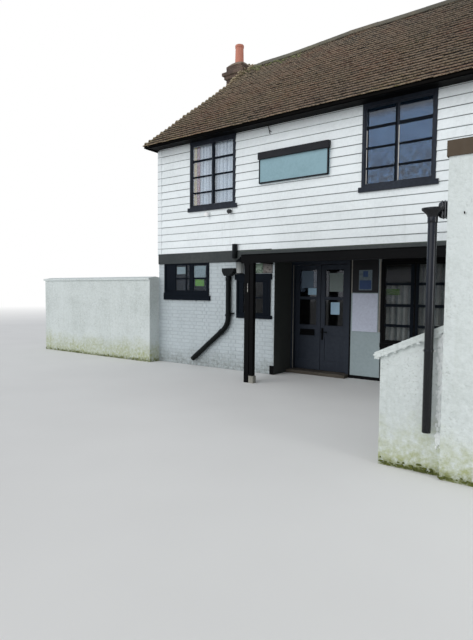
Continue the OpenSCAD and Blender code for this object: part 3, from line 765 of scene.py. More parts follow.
def make_tile_clay(colours):
    """Old plain tiles: brown, red and grey by the tile, with growth on the wet and shaded parts, a
    painted highlight at each tail and painted shade above it
    """
    corner, top = HIPS[0]
    beside = Vector((top.y - corner.y, corner.x - top.x, 0)).normalized()
    for name, paleness in (("tile_clay", 0.0), ("bonnet_clay", 0.5), ("ridge_clay", 0.7)):
        f = Finish(name, 0.9, Specular_IOR_Level=0.2)
        tone = f.attribute("tone")
        height = f.part("Z", f.where)
        ramp = f.add("ValToRGB", {"Fac": tone})
        stops = ramp.color_ramp.elements
        stops[0].color = (*colours.tile_grey, 1.0)
        stops[1].color = (*colours.tile_brown, 1.0)
        for at, colour in ((0.30, colours.tile_brown), (0.78, shade(146, 123, 101)),
                           (0.90, shade(70, 57, 46))):
            stops.new(at).color = (*colour, 1.0)
        base = ramp.outputs["Color"]
        if paleness:
            base = f.mix(paleness, base, shade(140, 138, 124))
        else:
            redder = f.patches(0.75, 3.0, 0.6, 0.44, 0.60)
            redder = f.times(redder, f.between(tone, 0.35, 0.6, 0.3, 1.0))
            base = f.mix(redder, base, colours.tile_red)
        base = f.patina(base, shade(60, 51, 43), 0.5)
        by_ridge = f.between(height, RIDGE_Z - 0.9, RIDGE_Z - 0.1)
        patch = f.patches(2.2, 4.0, 0.6, 0.34, 0.58)
        base = f.mix(f.times(by_ridge, patch, 0.82), base, shade(99, 98, 92))
        blotch = f.patches(1.1, 4.0, 0.7, 0.42, 0.62)
        speck = f.patches(30.0, 3.0, 0.7, 0.47, 0.64)
        by_eaves = f.between(height, EAVES_Z, EAVES_Z + 1.3, 1.0, 0.35)
        base = f.mix(f.times(blotch, speck, by_eaves), base, colours.lichen)
        if name != "ridge_clay":
            away = f.add("VectorMath", {0: f.where, 1: beside}, operation="DOT_PRODUCT")
            away = f.reckon("SUBTRACT", away.outputs["Value"], beside.dot(corner))
            by_hip = f.between(f.reckon("ABSOLUTE", away), 0.05, 0.75, 1.0, 0.0)
            mortared = f.patches(7.0, 4.0, 0.7, 0.40, 0.58)
            base = f.mix(f.times(by_hip, mortared, 0.6), base, shade(126, 122, 92))
            # Each tile's tail is pale, partly pale specks and partly a painted highlight where the
            # tail catches the light, and the part under the next course's tail is painted dark as
            # painted shade
            reach = f.attribute("reach")
            tail = f.between(reach, 0.04, 0.20, 1.0, 0.0)
            specks_and_highlight = f.patches(40.0, 3.0, 0.7, 0.42, 0.56)
            base = f.mix(f.times(tail, specks_and_highlight, 0.85), base, shade(190, 170, 146))
            base = f.mix(f.between(reach, 0.19, 0.28), base, shade(20, 15, 11))
        along = f.part("X", f.where)
        lower_left = f.times(f.between(along, -1.0, 2.2, 0.24, 0.0),
                             f.between(height, EAVES_Z + 0.2, EAVES_Z + 1.6, 1.0, 0.0))
        fade = f.times(f.between(along, -1.0, 3.0, 1.0, 0.66),
                       f.reckon("SUBTRACT", 1.0, lower_left))
        f.colour(f.mix(1.0, base, f.grey(fade), "MULTIPLY"))
        f.rough(40.0, 190.0, 0.005, 0.8)
    # The slabs show only at the eaves: their near black is partly the dark gap under the tile tails
    # and partly painted shade of the eaves
    f = Finish("roof_edge", 0.95, Specular_IOR_Level=0.1)
    f.colour(f.indoors(f.patina(shade(12, 11, 10), shade(24, 21, 18), 0.6), [UPPER_ROOM]))
    f.rough(40.0, 190.0, 0.004, 0.7)


def make_masonry(colours):
    """The chimney's sooty bricks and its pot"""
    f = Finish("sooty_brick", 0.9)
    f.colour(f.patina(f.copy_tone(colours.soot, 0.35), shade(58, 50, 44), 0.9))
    f.rough(30.0, 160.0, 0.005, 0.8)
    f = Finish("terracotta", 0.75, Specular_IOR_Level=0.3)
    base = f.patina(colours.terracotta, shade(172, 106, 88), 0.6)
    f.colour(f.streaks(base, shade(112, 72, 58), 0.5))
    f.rough(30.0, 170.0, 0.002, 0.6)


def make_glass():
    """Old panes. Upstairs their slate blue is a painted reflection of the sky, with darker painted
    reflections low down and painted shade of the eaves at their heads; in the lower windows they
    are grey and in the doors dark, which puts painted shade over what shows through them.

    Towards the front left corner, as far as a limit along X, the panes are clear, for the
    curtains and cards behind them.
    """
    foot, head = (corner.z for corner in UPPER_PANES[0])
    for name, first, second, clear, limit, bending in (
            ("sky_glass", shade(96, 156, 214), shade(120, 180, 232), 0.90, 0.0, 1.46),
            ("shade_glass", shade(160, 163, 162), shade(174, 177, 176), 0.97, -1.5, 1.15),
            ("door_glass", shade(66, 70, 74), shade(78, 82, 86), 0.97, -9.0, 1.35)):
        f = Finish(name, 0.03, IOR=bending, Transmission_Weight=clear)
        haze_and_reflection = f.noise(f.where, 4.0, 4.0)
        # The two colours are the painted reflection upstairs, and a painted shade tint in the lower
        # windows and the doors
        base = f.mix(f.between(haze_and_reflection, 0.35, 0.65), first, second)
        parts = f.add("SeparateXYZ", {"Vector": f.where}).outputs
        if name == "sky_glass":
            # Darker painted reflections over the lower part of the upstairs panes
            cloud_reflection = f.patches(9.0, 4.0, 0.7, 0.4, 0.6)
            by_foot = f.between(parts["Z"], foot, head - 0.5, 1.0, 0.1)
            base = f.mix(f.times(cloud_reflection, by_foot, 0.9), base, shade(58, 72, 84))
            # A darker band at the head of the upstairs panes: painted shade of the eaves
            by_head = f.between(parts["Z"], head - 0.17, head - 0.07)
            base = f.mix(by_head, base, shade(60, 84, 108))
        corner = f.times(f.reckon("LESS_THAN", parts["X"], limit),
                         f.reckon("LESS_THAN", parts["Y"], 0.0))
        f.colour(f.mix(corner, base, shade(216, 224, 230)))
        f.dullness(haze_and_reflection, 0.02, 0.08)
        f.relief(f.noise(f.where, 2.2, 1.0), 0.002, 0.25)
        shadow = f.add("LightPath").outputs["Is Shadow Ray"]
        f.feed(f.shader.inputs["Alpha"], f.reckon("MULTIPLY_ADD", shadow, -0.9, 1.0))


def make_cloths():
    """Woven cloth, with painted shade in the hollows between its folds"""
    for name, value, weave in (("white_net", shade(240, 244, 246), 900.0),
                               ("beige_curtain", shade(222, 184, 92), 600.0),
                               ("red_curtain", shade(160, 74, 76), 600.0),
                               ("grey_net", shade(206, 207, 204), 900.0)):
        f = Finish(name, 0.9, Sheen_Weight=0.2)
        threads = f.noise(f.stretched(f.where, (weave, weave, weave)), 1.0, 2.0)
        base = f.mix(f.between(threads, 0.3, 0.7), [c * 0.86 for c in value], value)
        # The hollows between the folds are painted darker and bluer: painted shade
        hollow = f.between(f.attribute("reach"), 0.42, 0.95, 0.0, 0.9)
        f.colour(f.mix(hollow, base, [c * share for c, share in zip(value, (0.30, 0.36, 0.42))]))
        f.relief(threads, 0.0005, 0.4)


def make_coated(name, value, dirt, amount, roughness, shine, coat):
    """A finish of one colour, dirtied by an amount, over a rough coat"""
    f = Finish(name, roughness, Specular_IOR_Level=shine)
    f.colour(f.patina(value, dirt, amount))
    f.rough(*coat)


def make_small_finishes(colours):
    """Coats of one colour on mortar, felt, paper, plastic and metal, and the two bare boards"""
    mossy = (120.0, 400.0, 0.006, 1.0)
    for name, value, dirt, amount, roughness, shine, coat in (
            ("old_mortar", shade(132, 117, 102), shade(78, 70, 60), 0.8, 0.92, 0.5,
             (36.0, 150.0, 0.006, 0.8)),
            ("pale_mortar", shade(178, 164, 136), shade(102, 92, 72), 0.9, 0.95, 0.5,
             (60.0, 200.0, 0.006, 0.9)),
            ("concrete", shade(150, 148, 140), shade(88, 86, 76), 0.8, 0.9, 0.5,
             (22.0, 150.0, 0.004, 0.8)),
            ("fresh_paint", shade(236, 240, 240), shade(206, 212, 210), 0.5, 0.6, 0.3,
             (24.0, 90.0, 0.012, 0.9)),
            ("moss_growth", colours.moss, shade(52, 62, 26), 0.9, 1.0, 0.5, mossy),
            ("old_moss", shade(128, 130, 94), shade(84, 88, 52), 0.9, 1.0, 0.5, mossy)):
        make_coated(name, value, dirt, amount, roughness, shine, coat)
    for name, value, dirt, amount, roughness, shine in (
            ("felt", colours.felt, shade(66, 72, 58), 0.8, 0.95, 0.25),
            ("sign_panel", colours.sign, shade(112, 142, 150), 0.5, 0.5, 0.25),
            ("notice_board", colours.notice, shade(138, 138, 158), 0.4, 0.4, 0.25),
            ("dull_board", shade(154, 168, 172), shade(128, 140, 142), 0.5, 0.5, 0.25),
            # Pale strips: the real pale edges of the notice board, and a painted highlight on the
            # door frame's jamb
            ("pale_strip_and_highlight", shade(150, 147, 140), shade(108, 102, 96), 0.7, 0.6, 0.25),
            ("paper", shade(150, 160, 156), shade(112, 120, 118), 0.9, 0.8, 0.25),
            # The grey sheet on the right door is toned down as painted shade under the canopy
            ("dim_paper", shade(120, 130, 128), shade(98, 106, 106), 0.6, 0.8, 0.25),
            ("poster_paper", shade(112, 124, 130), shade(76, 88, 96), 0.8, 0.8, 0.25),
            ("slate_paper", shade(98, 114, 130), shade(84, 98, 112), 0.6, 0.8, 0.25),
            ("sky_paper", shade(160, 190, 210), shade(132, 162, 188), 0.6, 0.7, 0.25),
            ("worn_step", shade(88, 82, 74), shade(48, 45, 40), 0.9, 0.85, 0.25),
            ("blue_paper", shade(50, 72, 112), shade(38, 56, 88), 0.5, 0.6, 0.25),
            ("green_paper", shade(104, 152, 44), shade(44, 84, 34), 1.0, 0.6, 0.25),
            ("pipe_plastic", colours.pipe, shade(28, 29, 31), 0.3, 0.24, 0.28),
            ("waste_plastic", shade(12, 15, 15), shade(30, 34, 34), 0.4, 0.4, 0.12),
            ("worn_floor", shade(86, 70, 56), shade(58, 48, 38), 0.8, 0.6, 0.25),
            # The porch's lining: dark grey as painted shade
            ("lining_shade_paint", shade(58, 60, 58), shade(48, 50, 48), 0.6, 0.8, 0.25),
            ("black_metal", shade(3, 3, 4), shade(9, 9, 10), 0.4, 0.75, 0.08),
            ("pale_metal", shade(188, 190, 190), shade(140, 140, 136), 0.4, 0.45, 0.25),
            ("white_bead", shade(210, 208, 204), shade(160, 156, 150), 0.6, 0.6, 0.25)):
        make_coated(name, value, dirt, amount, roughness, shine, (35.0, 180.0, 0.0015, 0.5))
    for name, value, dark_tone in (("green_board", shade(140, 156, 142), shade(44, 58, 46)),
                              ("grey_board", shade(124, 120, 116), shade(48, 46, 46))):
        f = Finish(name, 0.7, Specular_IOR_Level=0.2)
        # Dark spots on the boards, and towards their heads the same dark tone as painted shade
        # under the canopy's beam
        spots = f.patches(26.0, 4.0, 0.7, 0.42, 0.62)
        above = f.between(f.part("Z", f.where), 1.90, 2.03, 0.0, 0.9)
        f.colour(f.mix(f.reckon("MAXIMUM", spots, above), value, dark_tone))


def make_lamp_finishes():
    """Enamel, white on the left lamp and black on the right one, and the lantern's dim glass"""
    f = Finish("lamp_enamel", 0.4)
    middle = (low("spot_lamps").x + high("spot_lamps").x) / 2
    right = f.reckon("GREATER_THAN", f.part("X", f.where), middle)
    f.colour(f.mix(right, shade(250, 250, 250), shade(24, 24, 26)))
    f = Finish("frosted_glass", 0.35, Specular_IOR_Level=0.3, Transmission_Weight=0.3)
    height = f.between(f.part("Z", f.where), INN_OT_lantern.FOOT, INN_OT_lantern.HEAD)
    f.colour(f.mix(height, shade(184, 186, 184), shade(84, 88, 86)))


NODE_FINISHES = {
    "worn_floor": ("ground_floor", "upper_floor"),
    "joint_paint": ("front_wall_lower", "left_wall_lower", "right_wall_lower", "back_wall_lower"),
    "dark_wall": ("recess_side_wall", "recess_back_wall", "door_lintel"),
    "beam_timber": ("front_beam",),
    "eaves_black_and_shade": ("eaves_long", "eaves_ends"),
    "canopy_black_and_shade": ("canopy_beam", "porch_posts", "window_recess"),
    "board_paint": ("front_wall_upper", "back_wall_upper", "left_wall_upper", "right_wall_upper"),
    "roof_edge": ("roof_front", "roof_back", "roof_left", "roof_right"),
    "old_mortar": ("chimney_stack",),
    "terracotta": ("chimney_pot",),
    "window_paint": ("windows_upper",),
    "sash_paint": ("windows_lower",),
    "sky_glass": ("glass_upper",),
    "shade_glass": ("glass_lower",),
    "door_glass": ("door_glass_left", "door_glass_right"),
    "door_paint": ("door_frame", "door_leaf_left", "door_leaf_right"),
    "black_metal": ("letter_plate", "door_handle"),
    "concrete": ("post_block",),
    "worn_step": ("doorstep",),
    "felt": ("canopy_roof", "wing_roof"),
    "dull_board": ("notice_panel",),
    "sign_panel": ("sign_board",),
    "render_paint": ("wing_front_wall", "wing_left_wall", "wing_right_wall", "wing_back_wall",
                     "raking_wall", "yard_wall"),
    "brown_timber": ("wing_fascia",),
    "pipe_plastic": ("rainwater_pipe",),
    "lamp_enamel": ("spot_lamps",),
}


class INN_OT_finishes(bpy.types.Operator):
    """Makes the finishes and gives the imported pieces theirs"""
    bl_idname = "inn.finishes"
    bl_label = "Finishes"

    def execute(self, context):
        colours = context.scene.inn_colours
        make_groups()
        make_board_paint(colours, context.scene.inn_walls.board_gauge)
        make_brick_paint(colours)
        make_render_paint(colours)
        make_timber_paints(colours)
        make_tile_clay(colours)
        make_masonry(colours)
        make_glass()
        make_cloths()
        make_small_finishes(colours)
        make_lamp_finishes()
        for finish, nodes in NODE_FINISHES.items():
            for node in nodes:
                for slot in NODES[node].material_slots:
                    slot.material = FINISHES[finish]
        return {"FINISHED"}


# Walls

WALLS = {
    "front": Wall((LEFT, FRONT), (RIGHT, FRONT)),
    "back": Wall((RIGHT, BACK), (LEFT, BACK)),
    "left": Wall((LEFT, BACK), (LEFT, FRONT)),
    "right": Wall((RIGHT, FRONT), (RIGHT, BACK)),
}


# How far a window's frame reaches above and below its glass
WINDOW_EDGE = 0.05


def panes_on(wall_name, panes):
    """The panes that stand in the front or the back wall"""
    face = {"front": FRONT, "back": BACK}.get(wall_name)
    return [] if face is None else [box for box in panes if abs(box[0].y - face) < 0.1]


def window_gaps(wall_name, panes, reach):
    """Where windows interrupt a wall: start, end, foot and head of each, frames included"""
    wall = WALLS[wall_name]
    gaps = []
    for box in panes_on(wall_name, panes):
        start, end = wall.reach(box)
        gaps.append((start - reach, end + reach, box[0].z, box[1].z))
    return gaps


def blocked_at(gaps, z, tall):
    """The gaps that interrupt one course of a wall: where each starts and ends along it"""
    return [(start, end) for start, end, foot, head in gaps
            if foot - WINDOW_EDGE < z + tall and z < head + WINDOW_EDGE]


class INN_OT_weatherboards(bpy.types.Operator):
    """Lays lapped boards on the four upper walls, with boards down their corners"""
    bl_idname = "inn.weatherboards"
    bl_label = "Weatherboards"

    # Where the lowest courses of the front have an old joint, and how many courses have it
    OLD_JOINT = 1.28 - LEFT
    JOINTED_COURSES = 4
    CORNER_PROUD = 0.026

    def board(self, sizes):
        """One board, a metre long, thinner at its head than at its butt"""
        piece = block("board", (0, -sizes.board_butt, 0), (1, 0.002, sizes.board_gauge + 0.004))
        shift_points(piece, (0, sizes.board_butt - sizes.board_head, 0),
                     lambda co: co.z > 0.1 and co.y < 0)
        bevel_edges(piece, 0.003, 2, lambda middle, along: middle.z < 0.01 and middle.y < -0.015)
        return piece

    def execute(self, context):
        sizes = context.scene.inn_walls
        reach = context.scene.inn_joinery.frame_reach
        inset = sizes.corner_board
        for name, wall in WALLS.items():
            chance = random.Random(name)
            gaps = window_gaps(name, UPPER_PANES, reach)
            places = []
            course = 0
            z = BOARDS_FOOT
            jointed = self.JOINTED_COURSES if name == "front" else 0
            while z < SOFFIT - 0.01:
                tall = min(sizes.board_gauge, SOFFIT - z)
                blocked = blocked_at(gaps, z, tall)
                for start, end in free_runs(inset, wall.length - inset, blocked):
                    cuts = [start]
                    if course < jointed and start < self.OLD_JOINT < end:
                        cuts.append(self.OLD_JOINT)
                    while end - cuts[-1] > sizes.board_length:
                        cuts.append(cuts[-1] + sizes.board_length * chance.uniform(0.55, 0.95))
                    cuts.append(end)
                    for a, b in zip(cuts, cuts[1:]):
                        size = (b - a - 0.001, 1, tall / sizes.board_gauge)
                        places.append(wall.place(a, z + chance.uniform(-0.0012, 0.0012), size,
                                                 chance.uniform(-0.001, 0.0015)))
                course += 1
                z += sizes.board_gauge
            boards = lay("weatherboards_" + name, self.board(sizes), places, seed=len(name))
            dress(boards, "board_paint")
        corner = block("corner", (0, -self.CORNER_PROUD, 0), (inset, 0.002, 1), 0.003)
        tall = SOFFIT - BOARDS_FOOT
        places = []
        for name, wall in WALLS.items():
            lap = self.CORNER_PROUD if name in ("front", "back") else 0.0
            size = ((inset + lap) / inset, 1, tall)
            places.append(wall.place(-lap, BOARDS_FOOT, size))
            places.append(wall.place(wall.length - inset, BOARDS_FOOT, size))
        dress(lay("corner_boards", corner, places), "board_paint")
        return {"FINISHED"}


def brick_face(sizes):
    """The outer part of one brick, its face eased all round"""
    piece = block("brick", (0, -sizes.brick_proud, 0),
                  (sizes.brick_length, 0.02, sizes.brick_height))
    bevel_edges(piece, 0.004, 1, lambda middle, along: middle.y < 0.001 - sizes.brick_proud)
    return piece


class INN_OT_brick_faces(bpy.types.Operator):
    """Lays painted bricks over the lower walls"""
    bl_idname = "inn.brick_faces"
    bl_label = "Painted bricks"

    def course_runs(self, first, last, gaps, sizes, odd):
        """Bricks of one course of Flemish bond: where each starts and how long it is"""
        header = (sizes.brick_length - sizes.mortar) / 2
        pattern = (sizes.brick_length, header)
        bricks = []
        for start, end in free_runs(first, last, gaps):
            at = start
            turn = odd
            while at < end - 0.03:
                length = min(pattern[turn % 2] if at > start or not odd else header / 2, end - at)
                bricks.append((at, length))
                at += length + sizes.mortar
                turn += 1
        return bricks

    def execute(self, context):
        sizes = context.scene.inn_walls
        reach = context.scene.inn_joinery.frame_reach
        gauge = sizes.brick_height + sizes.mortar
        heads = {"front": high("front_wall_lower").z, "back": high("back_wall_lower").z,
                 "left": high("left_wall_lower").z}
        ends = {"front": PORCH_X - LEFT, "back": RIGHT - LEFT, "left": BACK - FRONT}
        small_window = min(solids_of("windows_lower"), key=lambda box: box[1].x - box[0].x)
        for name, head in heads.items():
            wall = WALLS[name]
            chance = random.Random(name)
            gaps = window_gaps(name, LOWER_PANES, reach)
            if name == "front":
                gaps.append((*wall.reach(small_window), small_window[0].z + WINDOW_EDGE,
                             small_window[1].z - WINDOW_EDGE))
            start = -sizes.brick_proud if name in ("front", "back") else 0.0
            end = ends[name] - start * (name == "back")
            places = []
            for course in range(int(head / gauge) + 1):
                z = course * gauge + sizes.mortar / 2
                tall = min(sizes.brick_height, head - z)
                if tall < 0.015:
                    continue
                blocked = blocked_at(gaps, z, tall)
                for at, length in self.course_runs(start, end, blocked, sizes, course % 2):
                    size = (length / sizes.brick_length, 1, tall / sizes.brick_height)
                    places.append(wall.place(at, z, size, chance.uniform(-0.0015, 0.001)))
            bricks = lay("bricks_" + name, brick_face(sizes), places, seed=len(name))
            dress(bricks, "brick_paint")
        return {"FINISHED"}


# Roof

class Slope:
    """One slope of the roof: its eaves from left to right as seen from outside, and its top"""

    def __init__(self, eaves_start, eaves_end, top):
        self.start = Vector((*eaves_start, EAVES_Z))
        run = Vector((*eaves_end, EAVES_Z)) - self.start
        self.width = run.length
        self.along = run.normalized()
        rise = Vector((*top, RIDGE_Z)) - self.start
        rise -= self.along * rise.dot(self.along)
        self.length = rise.length
        self.up = rise.normalized()
        self.out = self.along.cross(self.up)
        self.turn = Matrix((self.along, self.up, self.out)).transposed().to_4x4()

    def place(self, along, up, out, turn):
        at = self.start + self.along * along + self.up * up + self.out * out
        return Matrix.Translation(at) @ self.turn @ Matrix.Rotation(turn, 4, "Z")


SLOPES = {
    "front": Slope((EDGE_X0, -EDGE_Y), (EDGE_X1, -EDGE_Y), (RIDGE_X0, 0)),
    "back": Slope((EDGE_X1, EDGE_Y), (EDGE_X0, EDGE_Y), (RIDGE_X1, 0)),
    "left": Slope((EDGE_X0, EDGE_Y), (EDGE_X0, -EDGE_Y), (RIDGE_X0, 0)),
    "right": Slope((EDGE_X1, -EDGE_Y), (EDGE_X1, EDGE_Y), (RIDGE_X1, 0)),
}
# The foot and the head of each hip, the front ones first, from left to right
HIPS = [(Vector((x, y, EAVES_Z)), Vector((top, 0, RIDGE_Z))) for y in (-EDGE_Y, EDGE_Y)
        for x, top in ((EDGE_X0, RIDGE_X0), (EDGE_X1, RIDGE_X1))]


def ease(value):
    """A smooth step from 0 to 1"""
    value = min(max(value, 0.0), 1.0)
    return value * value * (3 - 2 * value)


def swell(x, z, roof):
    """How far the old roof stands above its true slopes: it has sunk towards the chimney"""
    along = ease((x - roof.swell_from) / (roof.swell_to - roof.swell_from))
    rise = min(max((z - EAVES_Z) / (RIDGE_Z - EAVES_Z), 0.0), 1.05)
    ripple = 0.004 * math.sin(x * 2.3 + 1.0) * math.sin(z * 3.1)
    return roof.ridge_swell * along * rise ** 1.3 + ripple * min(1.0, 4 * rise)


def swell_piece(piece, roof):
    """Lifts every point of a piece by the old roof's swell"""
    for vertex in piece.data.vertices:
        vertex.co.z += swell(vertex.co.x, vertex.co.z, roof)
    piece.data.update()


def roof_height(x, y):
    """The height of the plain slopes over a place in plan"""
    pitch_y = (RIDGE_Z - EAVES_Z) / EDGE_Y
    pitch_x = (RIDGE_Z - EAVES_Z) / (RIDGE_X0 - EDGE_X0)
    inward = min((EDGE_Y - abs(y)) * pitch_y, (x - EDGE_X0) * pitch_x, (EDGE_X1 - x) * pitch_x)
    return EAVES_Z + inward


def strew(name, chance, places, seed, finish, roof=None):
    """Uneven lumps at the given places, lifted with the old roof's swell where they lie on it"""
    lump = primitive("lump", bpy.ops.mesh.primitive_ico_sphere_add, subdivisions=2, radius=1.0)
    for vertex in lump.data.vertices:
        vertex.co *= 1 + chance.uniform(-0.16, 0.16)
    piece = lay(name, lump, places, seed)
    if roof:
        swell_piece(piece, roof)
    smooth(piece, 60)
    dress(piece, finish)


class INN_OT_roof_tiles(bpy.types.Operator):
    """Lays plain tiles in courses on the four slopes and cuts them to the hips and the ridge"""
    bl_idname = "inn.roof_tiles"
    bl_label = "Roof tiles"

    # How unevenly the tiles lie: how far they lift, slip along the slope and turn
    LIFT, SLIP, TURN = 0.0032, 0.005, 0.012
    # The front's sag: where along X it ends, the stretch over which it fades, and its courses
    SAG_END, SAG_FADE, SAG_COURSES = 0.1, 1.2, 6

    def tile(self, roof, gauge):
        """One plain tile, cambered across, its head sunk under the next course"""
        width = roof.tile_width - roof.tile_gap
        piece = block("tile", (-width / 2, 0, 0), (width / 2, gauge * 2.1, roof.tile_thickness))
        pick(piece, "EDGE", lambda middle, along: abs(along.x) > 0.1)
        bpy.ops.mesh.subdivide(number_cuts=2)
        leave_edit()
        shift_points(piece, (0, 0, 0.0025), lambda co: abs(co.x) < width / 3)
        shift_points(piece, (0, 0, roof.tile_lift), lambda co: co.y < 0.001)
        shift_points(piece, (0, 0, 0.003 - roof.tile_thickness), lambda co: co.y > 0.001)
        return piece

    def execute(self, context):
        roof = context.scene.inn_roof
        for name, slope in SLOPES.items():
            chance = random.Random(name)
            first = 0.03 if name == "back" else -roof.overhang
            gauge = (slope.length - first) / roof.courses
            places = []
            across = int(slope.width / roof.tile_width) + 2
            for course in range(roof.courses):
                up = first + course * gauge
                share = max(0.0, up) / slope.length
                run = (RIDGE_X0 - EDGE_X0) if name in ("front", "back") else slope.width / 2
                inset = run * share - 2 * roof.tile_width
                for i in range(across):
                    along = (i + (course % 2) / 2) * roof.tile_width
                    if not inset < along < slope.width - inset:
                        continue
                    if name == "front":
                        sunk = ease((self.SAG_END - EDGE_X0 - along) / self.SAG_FADE)
                        sunk *= max(0.0, 1 - course / self.SAG_COURSES)
                        up_here = up - roof.eaves_sag * sunk
                    else:
                        up_here = up
                    lift = abs(chance.gauss(0, self.LIFT))
                    up_here += chance.uniform(-self.SLIP, self.SLIP)
                    places.append(slope.place(along, up_here, lift, chance.gauss(0, self.TURN)))
            tiles = lay("tiles_" + name, self.tile(roof, gauge), places, seed=7 + len(name))
            self.cut_to_hips(tiles, slope, roof.hip_gap)
            if name in ("front", "back"):
                cut(tiles, (0, 0, 0), (0, slope.up.y, 0))
            if name != "front":
                cut(tiles, (0, EDGE_Y, 0), (0, 1, 0))
            swell_piece(tiles, roof)
            dress(tiles, "tile_clay")
        return {"FINISHED"}

    def cut_to_hips(self, tiles, slope, gap):
        """Ends a slope's tiles a gap short of the two hips that rise from its eaves"""
        middle = slope.start + slope.along * slope.width / 2
        ends = (slope.start, slope.start + slope.along * slope.width)
        for corner, top in HIPS:
            plan = Vector((top.x - corner.x, top.y - corner.y, 0)).normalized()
            outward = Vector((plan.y, -plan.x, 0))
            if (middle - corner).dot(outward) > 0:
                outward = -outward
            if min((corner - end).length for end in ends) < 0.01:
                cut(tiles, corner - outward * gap, outward)


class INN_OT_hip_bonnets(bpy.types.Operator):
    """Beds stepped bonnet tiles along the four hips"""
    bl_idname = "inn.hip_bonnets"
    bl_label = "Hip bonnets"

    # The least and most that a bonnet is tilted, in degrees, and its least and greatest size
    TILTS = (-28, -19)
    SIZES = (0.93, 1.06)

    def bonnet(self, roof, gauge):
        """A flared half-round tile, its wide tail at the origin"""
        length = gauge * 1.9
        cone = primitive("bonnet", bpy.ops.mesh.primitive_cone_add, vertices=20,
                         radius1=roof.bonnet_radius, radius2=roof.bonnet_radius * 0.72,
                         depth=length, end_fill_type="NOTHING", location=(0, length / 2, 0),
                         rotation=(-math.pi / 2, 0, 0))
        return half_shell(cone, 0.02, 0.018)

    def execute(self, context):
        roof = context.scene.inn_roof
        chance = random.Random(5)
        places = []
        gauge = (HIPS[0][1] - HIPS[0][0]).length / roof.courses
        for corner, top in HIPS:
            way = (top - corner).normalized()
            side = way.cross(Vector((0, 0, 1))).normalized()
            out = side.cross(way)
            turn = Matrix((side, way, out)).transposed().to_4x4()
            for step in range(roof.courses - 1):
                at = corner + way * (step * gauge + 0.02) + out * -roof.bonnet_sink
                tilt = Matrix.Rotation(math.radians(chance.uniform(*self.TILTS)), 4, "X")
                wobble = Matrix.Rotation(chance.gauss(0, 0.04), 4, "Z")
                size = Matrix.Scale(chance.uniform(*self.SIZES), 4)
                places.append(Matrix.Translation(at) @ turn @ tilt @ wobble @ size)
        bonnets = lay("hip_bonnets", self.bonnet(roof, gauge), places, seed=3)
        cut(bonnets, (0, EDGE_Y, 0), (0, 1, 0))
        swell_piece(bonnets, roof)
        smooth(bonnets)
        dress(bonnets, "bonnet_clay")
        return {"FINISHED"}


class INN_OT_ridge(bpy.types.Operator):
    """Beds half-round ridge tiles in mortar along the ridge"""
    bl_idname = "inn.ridge"
    bl_label = "Ridge tiles"

    # How far the ridge tile by the stack has sunk, and its tilt in degrees
    SUNK = 0.03
    TIPPED = 4.0

    def half_round(self, name, radius, length, thickness):
        """A half-round shell along X, closed all round"""
        tube = primitive(name, bpy.ops.mesh.primitive_cylinder_add, vertices=28, radius=radius,
                         depth=length, end_fill_type="NOTHING", location=(length / 2, 0, 0),
                         rotation=(0, math.pi / 2, 0))
        return half_shell(tube, radius * 0.05, thickness)

    def execute(self, context):
        roof = context.scene.inn_roof
        chance = random.Random(11)
        run = RIDGE_X1 - RIDGE_X0
        count = round(run / roof.ridge_length)
        step = run / count
        base = high("ridge_tiles").z - roof.ridge_radius + 0.002
        caps = []
        beds = []
        for i in range(count):
            x = RIDGE_X0 + i * step
            dip = chance.uniform(-0.004, 0.004) - self.SUNK * (i == 0)
            tilt = chance.gauss(0, 0.5) - self.TIPPED * (i == 0)
            caps.append(place((x + 0.004, 0, base + dip), (0, tilt, 0),
                              ((step - 0.012) / step, 1, 1)))
            beds.append(place((x - 0.02, 0, base - 0.004), (0, 0, 0), (1, 1, 1)))
        ridge = lay("ridge_caps", self.half_round("cap", roof.ridge_radius, step, 0.016), caps, 2)
        mortar = lay("ridge_bedding", self.half_round("bed", roof.ridge_radius, 0.05, 0.05), beds)
        for piece in (ridge, mortar):
            swell_piece(piece, roof)
            smooth(piece)
            dress(piece, "ridge_clay")
        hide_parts("ridge_tiles")
        return {"FINISHED"}


def sides_of(near, far):
    """The ends of a rectangle's four sides in plan, anticlockwise from its near left corner"""
    corners = ((near.x, near.y), (far.x, near.y), (far.x, far.y), (near.x, far.y))
    return zip(corners, corners[1:] + corners[:1])


